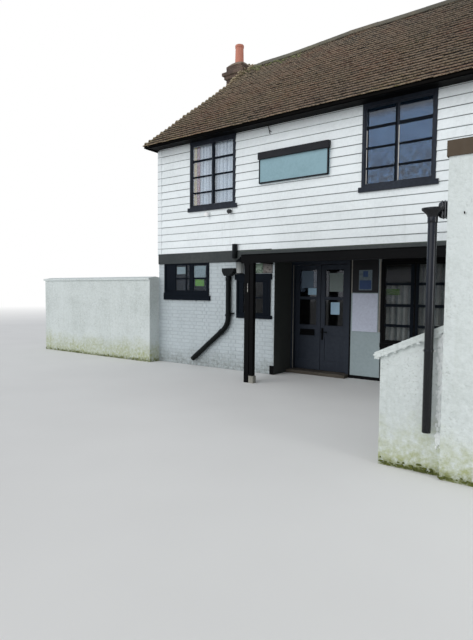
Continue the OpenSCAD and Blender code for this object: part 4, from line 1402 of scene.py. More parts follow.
class INN_OT_chimney(bpy.types.Operator):
    """Lays sooty bricks on the stack, flaunches its top and beds its foot in mortar"""
    bl_idname = "inn.chimney"
    bl_label = "Chimney"

    # By how many steps the courses counted from the top stand out
    OVERSAILS = {2: 2, 3: 1}
    FLAUNCHING = 0.075
    # How far above the eaves the bricks begin, out of sight under the tiles
    FIRST_BRICKS = 0.4

    def execute(self, context):
        sizes = context.scene.inn_walls
        gauge = sizes.brick_height + sizes.mortar
        near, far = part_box("chimney_stack")
        shaft_near, shaft_far = extent("chimney_stack", lambda co: co.z < 0.01)
        oversail = (shaft_near.x - near.x) / 2
        places = []
        chance = random.Random(21)
        header = (sizes.brick_length - sizes.mortar) / 2
        course = 0
        z = far.z - gauge + sizes.mortar / 2
        while z >= EAVES_Z + self.FIRST_BRICKS:
            step = self.OVERSAILS.get(course, 0) * oversail * Vector((1, 1, 0))
            for side, ends in enumerate(sides_of(shaft_near - step, shaft_far + step)):
                wall = Wall(*ends)
                at = -sizes.brick_proud if side % 2 == 0 else 0.0
                end = wall.length - at
                turn = (course + side) % 2
                while at < end - 0.03:
                    length = min(sizes.brick_length if turn % 2 else header, end - at)
                    size = (length / sizes.brick_length, 1, 1)
                    places.append(wall.place(at, z, size, chance.uniform(-0.002, 0.001)))
                    at += length + sizes.mortar
                    turn += 1
            course += 1
            z = far.z - (course + 1) * gauge + sizes.mortar / 2
        dress(lay("chimney_bricks", brick_face(sizes), places, 4), "sooty_brick")
        middle = (near + far) / 2
        mound = block("flaunching", (shaft_near.x + 0.01, shaft_near.y + 0.01, far.z - 0.004),
                      (shaft_far.x - 0.01, shaft_far.y - 0.01, far.z + self.FLAUNCHING))
        pick(mound, "FACE", lambda centre, normal: normal.z > 0.9)
        bpy.ops.transform.resize(value=(0.62, 0.56, 1), center_override=(middle.x, middle.y, 0))
        leave_edit()
        edit_all(mound)
        bpy.ops.mesh.subdivide(number_cuts=3, smoothness=0.4)
        leave_edit()
        smooth(mound)
        dress(mound, "old_mortar")
        self.mortar_skirt(shaft_near, shaft_far)
        return {"FINISHED"}

    def mortar_skirt(self, near, far):
        """Lumps of mortar round the stack where it leaves the tiles"""
        chance = random.Random(23)
        places = []
        for (x0, y0), (x1, y1) in sides_of(near, far):
            count = int(math.hypot(x1 - x0, y1 - y0) / 0.022)
            for i in range(count):
                share = (i + chance.random()) / count
                x, y = x0 + (x1 - x0) * share, y0 + (y1 - y0) * share
                wide = chance.uniform(0.022, 0.044)
                z = roof_height(x, y) + chance.uniform(0.030, 0.075)
                places.append(place((x, y, z), (0, 0, chance.uniform(0, 360)),
                                    (wide, wide * 0.8, wide * 0.7)))
        strew("chimney_mortar", chance, places, 6, "pale_mortar")


# Windows

def cross_bar(box, z, height, depth):
    """A glazing bar across a light, moulded on its outer face"""
    y = box[0].y
    outside = -1 if y < 0.5 * (FRONT + BACK) or abs(y - RECESS) < 0.2 else 1
    middle = (box[0].y + box[1].y) / 2
    face = middle + outside * depth / 2
    return block("bar", (box[0].x - 0.002, min(middle, face) - 0.006, z - height / 2),
                 (box[1].x + 0.002, max(middle, face), z + height / 2), 0.004)


class INN_OT_glazing_bars(bpy.types.Operator):
    """Sets the windows' bars, stiles and beads on their panes, and sills under two of them"""
    bl_idname = "inn.glazing_bars"
    bl_label = "Glazing bars"

    # Heights of the bars across the upper lights, the recess window and the corner window
    UPPER_BARS = (3.502, 3.818, 4.137)
    RECESS_BARS = (0.974, 1.316, 1.676)
    CORNER_BAR = 1.787
    # Casement stiles beside the panes: from and to along X
    STILES = ((-1.816, -1.772), (1.350, 1.366), (1.796, 1.828))
    RECESS_STILES = ((1.914, 1.968), (2.000, 2.046))
    # Pale beads of the right upper window: from and to along X, and their upper end
    BEADS = ((1.339, 1.350), (1.849, 1.861))
    BEAD_HEAD = 4.10
    # The corner window's wide jamb and its meeting stile: from and to along X
    CORNER_STILES = ((-3.064, -2.80), (-2.419, -2.31))
    # The small window's casement stiles: from and to along X
    SMALL_STILES = ((-1.142, -1.050), (-0.608, -0.508))
    # Sills in the front wall: from and to along X, foot, head and how far each stands out
    SILLS = ((-1.200, -0.402, 1.022, 1.088, 0.040), (-3.135, -1.863, 1.340, 1.436, 0.045))

    def upright(self, x0, x1, box, proud):
        """A stile or bead that stands on the outer side of a pane"""
        y = (box[0].y + box[1].y) / 2
        return block("stile", (x0, y - proud, box[0].z - 0.002), (x1, y + 0.004, box[1].z + 0.002),
                     0.003)

    def execute(self, context):
        sizes = context.scene.inn_joinery
        depth = sizes.bar_depth
        bars = []
        for box in UPPER_PANES:
            for z in self.UPPER_BARS:
                height = sizes.bar_height
                if z == self.UPPER_BARS[-1]:
                    height *= 1.5 if box[0].y < 0 and box[0].x > 1.8 else 1.2
                bars.append(cross_bar(box, z, height, depth))
        bars += [self.upright(x0, x1, FRONT_LIGHTS[0], 0.016) for x0, x1 in self.STILES]
        dress(join("glazing_bars_upper", bars), "sash_paint")
        bars = []
        for box in LOWER_PANES:
            if box[1].z - box[0].z > 1.0 and box in RECESS_PANES:
                bars += [cross_bar(box, z, 0.046, depth) for z in self.RECESS_BARS]
            else:
                z = self.CORNER_BAR if box[0].z > 1.4 else (box[0].z + box[1].z) / 2
                bars.append(cross_bar(box, z, 0.030, depth))
        small = [box for box in FRONT_PANES if box[0].x > -1.5][0]
        for pane, stiles, proud in ((RECESS_PANES[0], self.RECESS_STILES, 0.014),
                                    (FRONT_PANES[0], self.CORNER_STILES, 0.020),
                                    (small, self.SMALL_STILES, 0.014)):
            bars += [self.upright(x0, x1, pane, proud) for x0, x1 in stiles]
        for x0, x1, foot, head, proud in self.SILLS:
            bars.append(block("sill", (x0, FRONT - proud, foot), (x1, FRONT + 0.02, head), 0.005))
        dress(join("glazing_bars_lower", bars), "sash_paint")
        near = FRONT_LIGHTS[0][0]
        strips = [block("strip", (x0, near.y - 0.010, near.z), (x1, near.y + 0.002, self.BEAD_HEAD),
                        0.002) for x0, x1 in self.BEADS]
        dress(join("window_beads", strips), "white_bead")
        return {"FINISHED"}


def gathered(name, x0, x1, y, z0, z1, folds, depth, seed):
    """A gathered curtain from x0 to x1, with folds that drift a little, and its flat width"""
    piece = primitive(name, bpy.ops.mesh.primitive_grid_add, x_subdivisions=folds * 10,
                      y_subdivisions=14, size=1, rotation=(math.pi / 2, 0, 0))
    chance = random.Random(seed)
    phases = [chance.uniform(0, math.tau) for _ in range(4)]
    hollows = []
    for vertex in piece.data.vertices:
        u = vertex.co.x + 0.5
        v = vertex.co.z + 0.5
        drift = 0.25 * math.sin(3.1 * u * math.tau / folds * 2 + phases[0]) * (1 - v)
        wave = math.sin(math.tau * folds * u + phases[1] + drift)
        wave += 0.35 * math.sin(math.tau * folds * 0.37 * u + phases[2])
        swing = depth * (0.75 + 0.25 * (1 - v)) * wave
        hollows.append(0.5 + wave / 2.7)
        vertex.co = Vector((x0 + u * (x1 - x0), y + swing, z0 + v * (z1 - z0)))
    mark(piece, "reach", hollows)
    piece.data.update()
    apply_modifier(piece, "SOLIDIFY", thickness=0.0012, offset=0.0)
    smooth(piece, 80)
    steps = 400
    line = [depth * 0.85 * (math.sin(math.tau * folds * i / steps + phases[1])
                            + 0.35 * math.sin(math.tau * folds * 0.37 * i / steps + phases[2]))
            for i in range(steps + 1)]
    step = (x1 - x0) / steps
    return piece, sum(math.hypot(step, b - a) for a, b in zip(line, line[1:]))


class INN_OT_curtains(bpy.types.Operator):
    """Hangs nets and curtains in the left upper window, and nets inside the recess window"""
    bl_idname = "inn.curtains"
    bl_label = "Curtains"

    # How far apart the two nets of a window hang, and the radius of their rails
    PARTING = 0.008
    RAIL = 0.008

    def hang(self, name, finish, x0, x1, y, z0, z1, folds, depth, seed, rod_name):
        piece, flat = gathered(name, x0, x1, y, z0, z1, folds, depth, seed)
        dress(piece, finish)

    def rail(self, name, x0, x1, y, z, radius):
        dress(rod(name, (x0, y, z), (x1, y, z), radius, 12), "pale_metal")

    def execute(self, context):
        gap = context.scene.inn_joinery.net_clearance
        self.left_window([box for box in FRONT_LIGHTS if box[0].x < 0], gap)
        self.recess_window(gap)
        return {"FINISHED"}

    def left_window(self, lights, gap):
        """Nets across the whole window, and two short curtains behind its left light"""
        x0, x1 = lights[0][0].x - 0.085, lights[-1][1].x + 0.03
        jamb, post = lights[0][0].x, lights[0][1].x
        y = lights[0][1].y + gap
        top = lights[0][1].z + 0.015
        foot = lights[0][0].z - 0.06
        self.rail("net_rail_upper", x0, x1, y, top + self.RAIL, self.RAIL)
        middle = (lights[0][1].x + lights[1][0].x) / 2
        for name, start, end, folds, depth, seed in (
                ("net_left", x0 + 0.17, middle - self.PARTING / 2, 5, 0.030, 1),
                ("net_right", middle + self.PARTING / 2, x1, 6, 0.034, 2)):
            self.hang(name, "white_net", start, end, y, foot, top, folds, depth, seed,
                      "net_rail_upper")
        y = lights[0][1].y + 0.030
        foot = lights[0][0].z + 0.004
        head = lights[0][1].z - 0.012
        self.rail("curtain_rail", jamb - 0.002, post + 0.002, y, head + 0.005, 0.005)
        for name, finish, start, end, seed in (
                ("curtain_beige", "beige_curtain", jamb + 0.003, jamb + 0.076, 3),
                ("curtain_red", "red_curtain", jamb + 0.079, jamb + 0.150, 4)):
            self.hang(name, finish, start, end, y, foot, head, 2, 0.008, seed, "curtain_rail")

    def recess_window(self, gap):
        """A net over the lower part of the left light, and a full one behind the right light"""
        x0, x1 = RECESS_PANES[0][0].x - 0.03, RECESS_PANES[-1][1].x + 0.03
        y = RECESS_PANES[0][1].y + gap
        middle = (RECESS_PANES[0][1].x + RECESS_PANES[-1][0].x) / 2
        foot, head = (corner.z for corner in RECESS_PANES[0])
        for side, start, end, top in (
                ("left", x0, middle - self.PARTING / 2, foot + 0.75 * (head - foot)),
                ("right", middle + self.PARTING / 2, x1, head + 0.015)):
            rail_name = "net_rail_recess_" + side
            self.rail(rail_name, start, end, y, top + self.RAIL, self.RAIL)
            self.hang("net_recess_" + side, "grey_net", start, end, y, foot - 0.04, top, 5, 0.028,
                      10, rail_name)


class INN_OT_window_papers(bpy.types.Operator):
    """Sticks blank sheets inside the lower windows and hangs bare boards over the small one"""
    bl_idname = "inn.window_papers"
    bl_label = "Window papers"

    # Sheets inside the corner window: name, finish, lower left and upper right corner
    SHEETS = (("window_paper_large", "paper", (-2.306, 1.806), (-2.001, 2.041)),
              ("window_paper_small", "paper", (-2.783, 1.881), (-2.542, 2.031)),
              ("window_paper_green", "green_paper", (-2.280, 1.632), (-2.039, 1.765)))
    RECESS_SHEET = ("window_paper_recess", "green_paper", (1.500, 1.490), (1.728, 1.597))
    # The boards over the small window: name, finish, from and to along X, and their heights
    BOARDS = (("head_board_left", "green_board", -0.812, -0.612),
              ("head_board_right", "grey_board", -0.606, -0.405))
    BOARDS_Z = (1.872, 2.052)

    def sheet(self, name, finish, foot, head, y):
        card = block(name, (foot[0], y, foot[1]), (head[0], y + 0.0015, head[1]), 0.0004)
        dress(card, finish)

    def execute(self, context):
        for row in self.SHEETS:
            self.sheet(*row, FRONT_PANES[0][1].y + 0.002)
        self.sheet(*self.RECESS_SHEET, max(box[1].y for box in RECESS_PANES) + 0.002)
        face = FRONT - 0.005
        foot, head = self.BOARDS_Z
        for name, finish, x0, x1 in self.BOARDS:
            board = block(name, (x0, face - 0.012, foot), (x1, face + 0.002, head), 0.003)
            dress(board, finish)
        return {"FINISHED"}


# Entrance

class INN_OT_doors(bpy.types.Operator):
    """Adds beads, bars and blank sheets to the two entrance doors, and a pale strip down their
    frame's left jamb as a painted highlight
    """
    bl_idname = "inn.doors"
    bl_label = "Entrance doors"

    # The height of the bar across the glass, and the foot and head of the bead over the kick panel
    BAR_Z = 1.416
    LOW_BEAD = (0.722, 0.731)
    # Blank sheets on the glass: name, body, finish, lower left and upper right corner
    SHEETS = (("door_paper_tall", "left_door", "slate_paper", (-0.168, 1.608), (0.073, 1.93)),
              ("door_paper_low", "left_door", "sky_paper", (-0.035, 1.478), (0.148, 1.602)),
              ("door_paper_grey", "right_door", "dim_paper", (0.405, 1.54), (0.672, 1.88)),
              ("door_paper_white", "right_door", "sky_paper", (0.438, 1.12), (0.612, 1.345)))

    def ring(self, near, far, width, y0, y1):
        """Four strips of a bead round a rectangle"""
        return [block("bead", (near[0], y0, near[1]), (far[0], y1, near[1] + width), 0.003),
                block("bead", (near[0], y0, far[1] - width), (far[0], y1, far[1]), 0.003),
                block("bead", (near[0], y0, near[1]), (near[0] + width, y1, far[1]), 0.003),
                block("bead", (far[0] - width, y0, near[1]), (far[0], y1, far[1]), 0.003)]

    def execute(self, context):
        bead = context.scene.inn_joinery.bead
        for side in ("left", "right"):
            glass_low, glass_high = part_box("door_glass_" + side)
            face = low("door_leaf_" + side).y
            x0, x1, y = glass_low.x, glass_high.x, glass_low.y
            parts = self.ring((x0, glass_low.z), (x1, glass_high.z), bead, face + 0.004, y)
            parts += [block("bar", (x0, face + 0.001, self.BAR_Z - 0.028),
                            (x1, y, self.BAR_Z + 0.028), 0.004),
                      block("bead", (x0, face - 0.003, self.LOW_BEAD[0]),
                            (x1, face + 0.01, self.LOW_BEAD[1]), 0.002)]
            dress(join("door_beads_" + side, parts), "door_paint", side + "_door")
        y = low("door_glass_left").y
        for name, body, finish, foot, head in self.SHEETS:
            card = block(name, (foot[0], y - 0.0025, foot[1]), (head[0], y - 0.0005, head[1]),
                         0.0005)
            dress(card, finish, body)
        near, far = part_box("letter_plate")
        flap = block("letter_plate_surround", (near.x - 0.008, near.y - 0.003, 0.713),
                     (far.x + 0.006, near.y - 0.002, near.z - 0.001), 0.0015)
        dress(flap, "black_metal", "left_door")
        near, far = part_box("door_frame")
        # A pale strip down the frame's left jamb: a painted highlight on its edge
        edge = block("door_jamb_highlight", (near.x + 0.046, near.y - 0.004, near.z),
                     (near.x + 0.058, near.y + 0.004, far.z - 0.06), 0.002)
        dress(edge, "pale_strip_and_highlight")
        return {"FINISHED"}


class INN_OT_notices(bpy.types.Operator):
    """Mounts the black panel, its blank poster and the white board beside the doors"""
    bl_idname = "inn.notices"
    bl_label = "Notice boards"

    # The poster, the field over its lower part and the band at its head, as corners in X and Z
    POSTER = ((1.022, 1.568), (1.262, 1.92))
    FIELD = ((1.036, 1.585), (1.248, 1.74))
    BAND = ((1.10, 1.80), (1.185, 1.90))
    # The foot of the black panel, and the foot and head of the white board below it
    BLACK_FOOT = 1.525
    WHITE_Z = (0.845, 1.512)

    def execute(self, context):
        near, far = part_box("notice_panel")
        base_y = near.y + 0.014
        upper = block("notice_black_panel", (near.x + 0.022, base_y - 0.016, self.BLACK_FOOT),
                      (far.x - 0.045, base_y - 0.0005, far.z - 0.01), 0.002)
        dress(upper, "black_timber")
        board = block("notice_white_board", (near.x + 0.03, near.y - 0.004, self.WHITE_Z[0]),
                      (far.x - 0.047, near.y - 0.0005, self.WHITE_Z[1]), 0.0015)
        dress(board, "notice_board")
        edges = [block("edge", (near.x, base_y - 0.006, self.BLACK_FOOT - 0.010),
                       (near.x + 0.023, base_y - 0.0005, far.z), 0.001),
                 block("edge", (far.x - 0.026, near.y - 0.004, self.WHITE_Z[0] + 0.005),
                       (far.x, base_y - 0.0005, far.z), 0.001)]
        dress(join("notice_edges", edges), "pale_strip_and_highlight")
        y = base_y - 0.016
        for name, finish, (foot, head), front, back, edge in (
                ("poster_sheet", "poster_paper", self.POSTER, y - 0.002, y - 0.0005, 0.0005),
                ("poster_blue_field", "blue_paper", self.FIELD, y - 0.0032, y - 0.0018, 0.0004),
                ("poster_blue_band", "blue_paper", self.BAND, y - 0.0032, y - 0.0018, 0.0004)):
            sheet = block(name, (foot[0], front, foot[1]), (head[0], back, head[1]), edge)
            dress(sheet, finish)
        return {"FINISHED"}


class INN_OT_canopy(bpy.types.Operator):
    """Adds the canopy's fascia, drip board and joists, the porch's lining, dark as painted shade,
    and the posts' caps
    """
    bl_idname = "inn.canopy"
    bl_label = "Canopy"

    # The drip board's depth under the felt's edge, its height, and how far it laps the fascia
    DRIP_SET = 0.018
    DRIP_HEIGHT = 0.045
    DRIP_LAP = 0.006
    JOISTS = 9
    JOIST_Z = (2.06, 2.155)
    # Pale marks on the left post: where each begins and how tall it is
    PALE_MARKS = ((1.52, 0.052), (1.584, 0.04), (1.64, 0.02))
    PALE_MARKS_X = (-0.296, -0.288)

    def execute(self, context):
        near = low("canopy_beam")
        roof = low("canopy_roof")
        drip_top = extent("canopy_roof", lambda co: co.y < roof.y + 0.01)[1].z - self.DRIP_SET
        drip_foot = drip_top - self.DRIP_HEIGHT
        beam = low("front_beam")
        edge = high("front_wall_lower")
        for name, finish, start, end, ease_by in (
                ("canopy_drip", "beam_timber", (roof.x, roof.y - 0.010, drip_foot),
                 (WING_X, roof.y + 0.012, drip_top), 0.003),
                ("canopy_fascia", "canopy_black_and_shade", (roof.x, roof.y - 0.004, roof.z - 0.012),
                 (WING_X, roof.y + 0.012, drip_foot + self.DRIP_LAP), 0.003),
                ("beam_cover", "beam_timber", (beam.x, FRONT - 0.034, beam.z - 0.012),
                 (roof.x + 0.02, FRONT + 0.004, BOARDS_FOOT + 0.032), 0.004),
                # The lining hides the pale end of the brick wall at the porch's corner under a dark
                # colour: painted shade
                ("porch_shade_lining", "lining_shade_paint", (edge.x - 0.001, FRONT - 0.004, 0.0),
                 (edge.x + 0.006, RECESS, near.z + 0.1), 0.002),
                ("porch_plinth", "canopy_black_and_shade", (edge.x - 0.09, FRONT - 0.008, 0.0),
                 (edge.x + 0.004, FRONT + 0.01, 0.165), 0.004)):
            dress(block(name, start, end, ease_by), finish)
        step = (WING_X - near.x - 0.4) / (self.JOISTS - 1)
        joists = [place((near.x + 0.25 + i * step, 0, 0)) for i in range(self.JOISTS)]
        joist = block("joist", (0, near.y + 0.102, self.JOIST_Z[0]),
                      (0.05, FRONT - 0.002, self.JOIST_Z[1]), 0.003)
        dress(lay("canopy_joists", joist, joists), "canopy_black_and_shade")
        posts = solids_of("porch_posts")
        caps = [block("cap", (a.x - 0.008, a.y - 0.008, b.z - 0.03),
                      (b.x + 0.005, b.y + 0.008, b.z - 0.001), 0.004) for a, b in posts]
        dress(join("post_caps", caps), "canopy_black_and_shade")
        face = posts[0][0].y
        x0, x1 = self.PALE_MARKS_X
        pale_marks = [block("pale_mark", (x0, face - 0.0015, foot), (x1, face + 0.004, foot + tall), 0.001)
                 for foot, tall in self.PALE_MARKS]
        dress(join("post_pale_marks", pale_marks), "white_bead")
        return {"FINISHED"}


class INN_OT_sign(bpy.types.Operator):
    """Frames the bare sign board and caps its hood"""
    bl_idname = "inn.sign"
    bl_label = "Sign board"

    # The upper end of the bare panel, under the hood
    PANEL_HEAD = 3.947

    def execute(self, context):
        near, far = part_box("sign_board")
        foot, head = near.z, self.PANEL_HEAD
        face = FRONT - 0.06
        x0, x1 = near.x + 0.012, far.x - 0.012
        parts = [block("rail", (start, face - 0.012, foot), (end, face + 0.03, top), 0.004)
                 for start, end, top in ((x0, x1, foot + 0.022), (x0, x0 + 0.022, head),
                                         (x1 - 0.022, x1, head))]
        parts.append(block("hood", (near.x, FRONT - 0.098, head - 0.02), (far.x, FRONT, far.z),
                           0.005))
        dress(join("sign_frame", parts), "black_timber")
        return {"FINISHED"}


class INN_OT_pipes(bpy.types.Operator):
    """Makes the rainwater pipe with its flared head, and the waste pipe with its fittings"""
    bl_idname = "inn.pipes"
    bl_label = "Pipes"

    # The height where the rainwater pipe's head begins, and the foot and head of its clip
    NECK = 2.135
    CLIP_Z = (1.045, 1.065)
    # The waste pipe: its upright's axis and upper end, its radius and the radius of its bend
    WASTE_X = -1.372
    WASTE_Y = FRONT - 0.062
    WASTE_HEAD = 1.84
    WASTE_RADIUS = 0.050
    BEND = 0.35
    # Where the upright's axis would meet the foot's, and where the foot ends
    MEET_Z = 0.868
    FOOT_X, FOOT_Z = -2.280, 0.142
    # The hopper's foot and head, and the stub over it
    HOPPER_Z = (1.825, 2.0)
    STUB_X, STUB_Y = -1.231, FRONT - 0.058
    STUB_Z = (2.16, 2.43)

    def bowl(self, name, middle, profile, limit):
        """A turned shell from a closed profile of radii and heights, flattened to a limit in Y"""
        count = 32
        rows = len(profile)
        inner = profile[0][0]
        widest = max(r for r, _ in profile)
        squeeze = min(1.0, (middle[1] - limit) / widest)
        points = []
        faces = []
        for i in range(count):
            angle = math.tau * i / count
            for k, (r, z) in enumerate(profile):
                share = max(0.0, (r - inner) / (widest - inner))
                points.append((middle[0] + r * math.cos(angle),
                               middle[1] + r * math.sin(angle) * (1 - share * (1 - squeeze)), z))
                a, b = i * rows, (i + 1) % count * rows
                after = (k + 1) % rows
                faces.append((a + k, b + k, b + after, a + after))
        piece = new_piece(name, points, faces)
        face_outward(piece)
        smooth(piece, 50)
        return piece

    def tube(self, name, path, radius):
        """A round bar bent along a path in a plane that lies along X and Z"""
        sides = 28
        across = Vector((0, 1, 0))
        points = []
        for before, spot, after in zip(path[:1] + path, path, path[1:] + path[-1:]):
            side = across.cross((Vector(after) - Vector(before)).normalized())
            for k in range(sides):
                angle = math.tau * k / sides
                rim = across * math.cos(angle) + side * math.sin(angle)
                points.append(tuple(Vector(spot) + rim * radius))
        faces = [tuple(reversed(range(sides))), tuple(range(len(points) - sides, len(points)))]
        for i in range(len(path) - 1):
            for k in range(sides):
                a, b = i * sides + k, i * sides + (k + 1) % sides
                faces.append((a, b, b + sides, a + sides))
        piece = new_piece(name, points, faces)
        face_outward(piece)
        smooth(piece, 40)
        return piece

    def execute(self, context):
        near, far = extent("rainwater_pipe", lambda co: co.z < 1.0)
        x, y = (near.x + far.x) / 2, (near.y + far.y) / 2
        radius = (far.x - near.x) / 2
        neck = self.NECK
        parts = [rod("pipe", (x, y, near.z), (x, y, neck), radius, 32, 0.002),
                 rod("socket", (x, y, neck - 0.045), (x, y, neck + 0.006), radius + 0.004, 32,
                     0.002)]
        outer = [(radius + wider, neck + higher) for wider, higher in (
            (0.004, 0), (0.012, 0.022), (0.034, 0.045), (0.050, 0.056), (0.053, 0.075))]
        inner = [(r - 0.006, z) for r, z in reversed(outer)]
        parts.append(self.bowl("head", (x, y), outer + inner, low("rainwater_pipe").y))
        back = y + 0.024
        parts.append(block("outlet", (x + 0.03, back, neck - 0.006),
                           (WING_X, back + 0.066, neck + 0.124), 0.024, 4))
        for along in (0.058, 0.080):
            parts.append(block("rib", (x + along, back - 0.006, neck - 0.010),
                               (x + along + 0.012, back + 0.07, neck + 0.130), 0.004))
        pipe = dress(join("rainwater_pipe_dressed", parts), "pipe_plastic")
        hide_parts("rainwater_pipe")
        wall = low("raking_wall").y + 0.03
        foot, head = self.CLIP_Z
        parts = [rod("clip", (x, y, foot), (x, y, head), radius + 0.004, 32, 0.002),
                 block("stem", (x - 0.008, y + radius, foot), (x + 0.008, wall, head), 0.002)]
        dress(join("rainwater_clip", parts), "pipe_plastic")
        ear = block("rainwater_clip_ear", (x - radius - 0.014, y - 0.002, foot + 0.003),
                    (x + radius + 0.020, y + 0.003, head - 0.005), 0.001)
        dress(ear, "pale_metal")
        self.waste()
        return {"FINISHED"}

    def waste(self):
        """The waste pipe: the stub over the hopper, the upright pipe and its bend to the foot"""
        x, y, radius = self.WASTE_X, self.WASTE_Y, self.WASTE_RADIUS
        corner = Vector((x, y, self.MEET_Z))
        end = Vector((self.FOOT_X, y, self.FOOT_Z))
        way = (end - corner).normalized()
        turn = math.acos(-way.z)
        reach = self.BEND * math.tan(turn / 2)
        path = [(x, y, self.WASTE_HEAD), (x, y, 1.30)]
        steps = 10
        for i in range(steps + 1):
            angle = turn * i / steps
            path.append((x - self.BEND * (1 - math.cos(angle)), y,
                         corner.z + reach - self.BEND * math.sin(angle)))
        path.append(tuple(end))
        hopper = bpy.data.objects.new("hopper", NODES["waste_pipe"].data.copy())
        bpy.context.scene.collection.objects.link(hopper)
        cut(hopper, (0, 0, self.HOPPER_Z[0]), (0, 0, -1))
        cut(hopper, (0, 0, self.HOPPER_Z[1]), (0, 0, 1))
        stub = [(self.STUB_X, self.STUB_Y, z) for z in self.STUB_Z]
        parts = [hopper, self.tube("pipe", path, radius), rod("stub", *stub, 0.050, 28, 0.004)]
        pipe = dress(join("waste_pipe_dressed", parts), "waste_plastic")
        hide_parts("waste_pipe")
        start = corner + way * (reach + 0.01)
        parts = [rod("collar", (x, y, 1.735), (x, y, 1.80), radius + 0.008, 32, 0.003),
                 rod("collar", (x, y, 1.045), (x, y, 1.085), radius + 0.012, 32, 0.004),
                 block("clip", (x - 0.066, y, 1.088), (x + 0.105, FRONT + 0.004, 1.114), 0.003),
                 rod("collar", start, start + way * 0.07, radius + 0.007, 32, 0.003)]
        dress(join("waste_fittings", parts), "waste_plastic")


class INN_OT_spot_lamps(bpy.types.Operator):
    """Makes the two round lamps that hang from brackets under the left upper window"""
    bl_idname = "inn.spot_lamps"
    bl_label = "Spot lamps"

    # The middle of each lamp's face along X, and its height
    FACES = ((-1.920, 3.045), (-1.360, 3.055))

    def execute(self, context):
        lamps = []
        plates = []
        for (plate_low, plate_high), (x, z) in zip(solids_of("spot_lamps"), self.FACES):
            face = plate_low.y + 0.022
            head = plate_high.z
            plates += [block("plate", (x - 0.010, FRONT - 0.03, z + 0.022),
                             (x + 0.038, FRONT + 0.002, head), 0.004),
                       rod("arm", (x + 0.020, FRONT - 0.02, head - 0.014),
                           (x, face + 0.03, z + 0.02), 0.009, 12)]
            lamps += [rod("shell", (x + 0.006, face + 0.058, z + 0.012), (x, face, z), 0.038, 28,
                          0.010),
                      rod("rim", (x, face + 0.008, z + 0.002), (x, face - 0.004, z - 0.001),
                          0.041, 28, 0.003)]
        lamps = dress(join("spot_lamps_dressed", lamps), "lamp_enamel")
        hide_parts("spot_lamps")
        dress(join("lamp_plates", plates), "fresh_paint")
        return {"FINISHED"}


class INN_OT_lantern(bpy.types.Operator):
    """Makes the wall lantern that hangs beside the canopy"""
    bl_idname = "inn.lantern"
    bl_label = "Lantern"

    # The lantern's axis, the foot and head of its glass, and the glass's radius at each
    X, Y = -1.045, -2.130
    FOOT, HEAD = 1.872, 2.084
    NARROW, WIDE = 0.066, 0.080

    def cone(self, name, foot_radius, head_radius, foot, head):
        piece = primitive(name, bpy.ops.mesh.primitive_cone_add, vertices=32, radius1=foot_radius,
                          radius2=head_radius, depth=head - foot,
                          location=(self.X, self.Y, (foot + head) / 2))
        smooth(piece)
        return piece

    def execute(self, context):
        x, y, foot, head = self.X, self.Y, self.FOOT, self.HEAD
        body = self.cone("lantern_glass", self.NARROW, self.WIDE, foot, head)
        dress(body, "frosted_glass")
        parts = []
        for angle in (30, 150, 210, 330):
            side, out = math.cos(math.radians(angle)), math.sin(math.radians(angle))
            parts.append(rod("bar", (x + side * self.NARROW, y + out * self.NARROW, foot - 0.004),
                             (x + side * self.WIDE, y + out * self.WIDE, head + 0.004), 0.004, 10))
        for reach, z in ((self.NARROW + 0.006, foot - 0.008), (self.WIDE + 0.010, head)):
            parts.append(rod("ring", (x, y, z - 0.006), (x, y, z + 0.006), reach, 32, 0.003))
        wall = FRONT - 0.01
        parts += [self.cone("roof", self.WIDE + 0.022, 0.018, head + 0.005, head + 0.067),
                  rod("finial", (x, y, head + 0.062), (x, y, head + 0.092), 0.012, 16, 0.004),
                  rod("arm", (x, y, head + 0.080), (x, wall, head + 0.080), 0.008, 14),
                  rod("brace", (x, y + 0.02, head + 0.070), (x, wall, head - 0.03), 0.006, 12),
                  block("plate", (x - 0.028, FRONT - 0.016, head - 0.06),
                        (x + 0.028, FRONT + 0.002, head + 0.11), 0.004)]
        dress(join("lantern_ironwork", parts), "black_metal")
        return {"FINISHED"}


class INN_OT_hooks(bpy.types.Operator):
    """Makes the small hook over the sign and the eye on the wing"""
    bl_idname = "inn.hooks"
    bl_label = "Hooks"

    # The parts of the sign's hook: start and end in X and Z, and radius
    HOOK = (((-0.520, 4.51), (-0.481, 4.365), 0.006), ((-0.500, 4.44), (-0.452, 4.40), 0.005))
    PIN_X, PIN_Z = -0.510, 4.48
    EYE_X, EYE_Z = 3.592, 2.154

    def execute(self, context):
        y = FRONT - 0.03
        parts = [rod("hook", (start[0], y, start[1]), (end[0], y, end[1]), radius, 10)
                 for start, end, radius in self.HOOK]
        parts.append(rod("hook", (self.PIN_X, y, self.PIN_Z), (self.PIN_X, FRONT, self.PIN_Z),
                         0.005, 10))
        dress(join("sign_hook", parts), "black_metal")
        eye = primitive("wing_eye", bpy.ops.mesh.primitive_torus_add,
                        location=(self.EYE_X, WING_Y - 0.012, self.EYE_Z),
                        rotation=(0, math.pi / 2, 0), major_radius=0.008, minor_radius=0.003,
                        major_segments=20, minor_segments=8)
        smooth(eye)
        dress(eye, "black_metal")
        return {"FINISHED"}


class INN_OT_wing_trim(bpy.types.Operator):
    """Lays the felt's welt along the edges of the wing's roof"""
    bl_idname = "inn.wing_trim"
    bl_label = "Wing trim"

    WELT = 0.08

    def execute(self, context):
        near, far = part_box("wing_fascia")
        x0, y0 = 2 * WING_X - near.x, 2 * WING_Y - near.y
        x1, y1 = far.x - 0.03, far.y - 0.03
        strips = [block("welt", (*start, far.z - 0.012), (*end, far.z + 0.008), 0.004)
                  for start, end in (((x0, y0), (x1, y0 + self.WELT)),
                                     ((x0, y0), (x0 + self.WELT, FRONT)),
                                     ((x1 - self.WELT, y0), (x1, y1)),
                                     ((RIGHT, y1 - self.WELT), (x1, y1)))]
        dress(join("wing_roof_welt", strips), "felt")
        return {"FINISHED"}


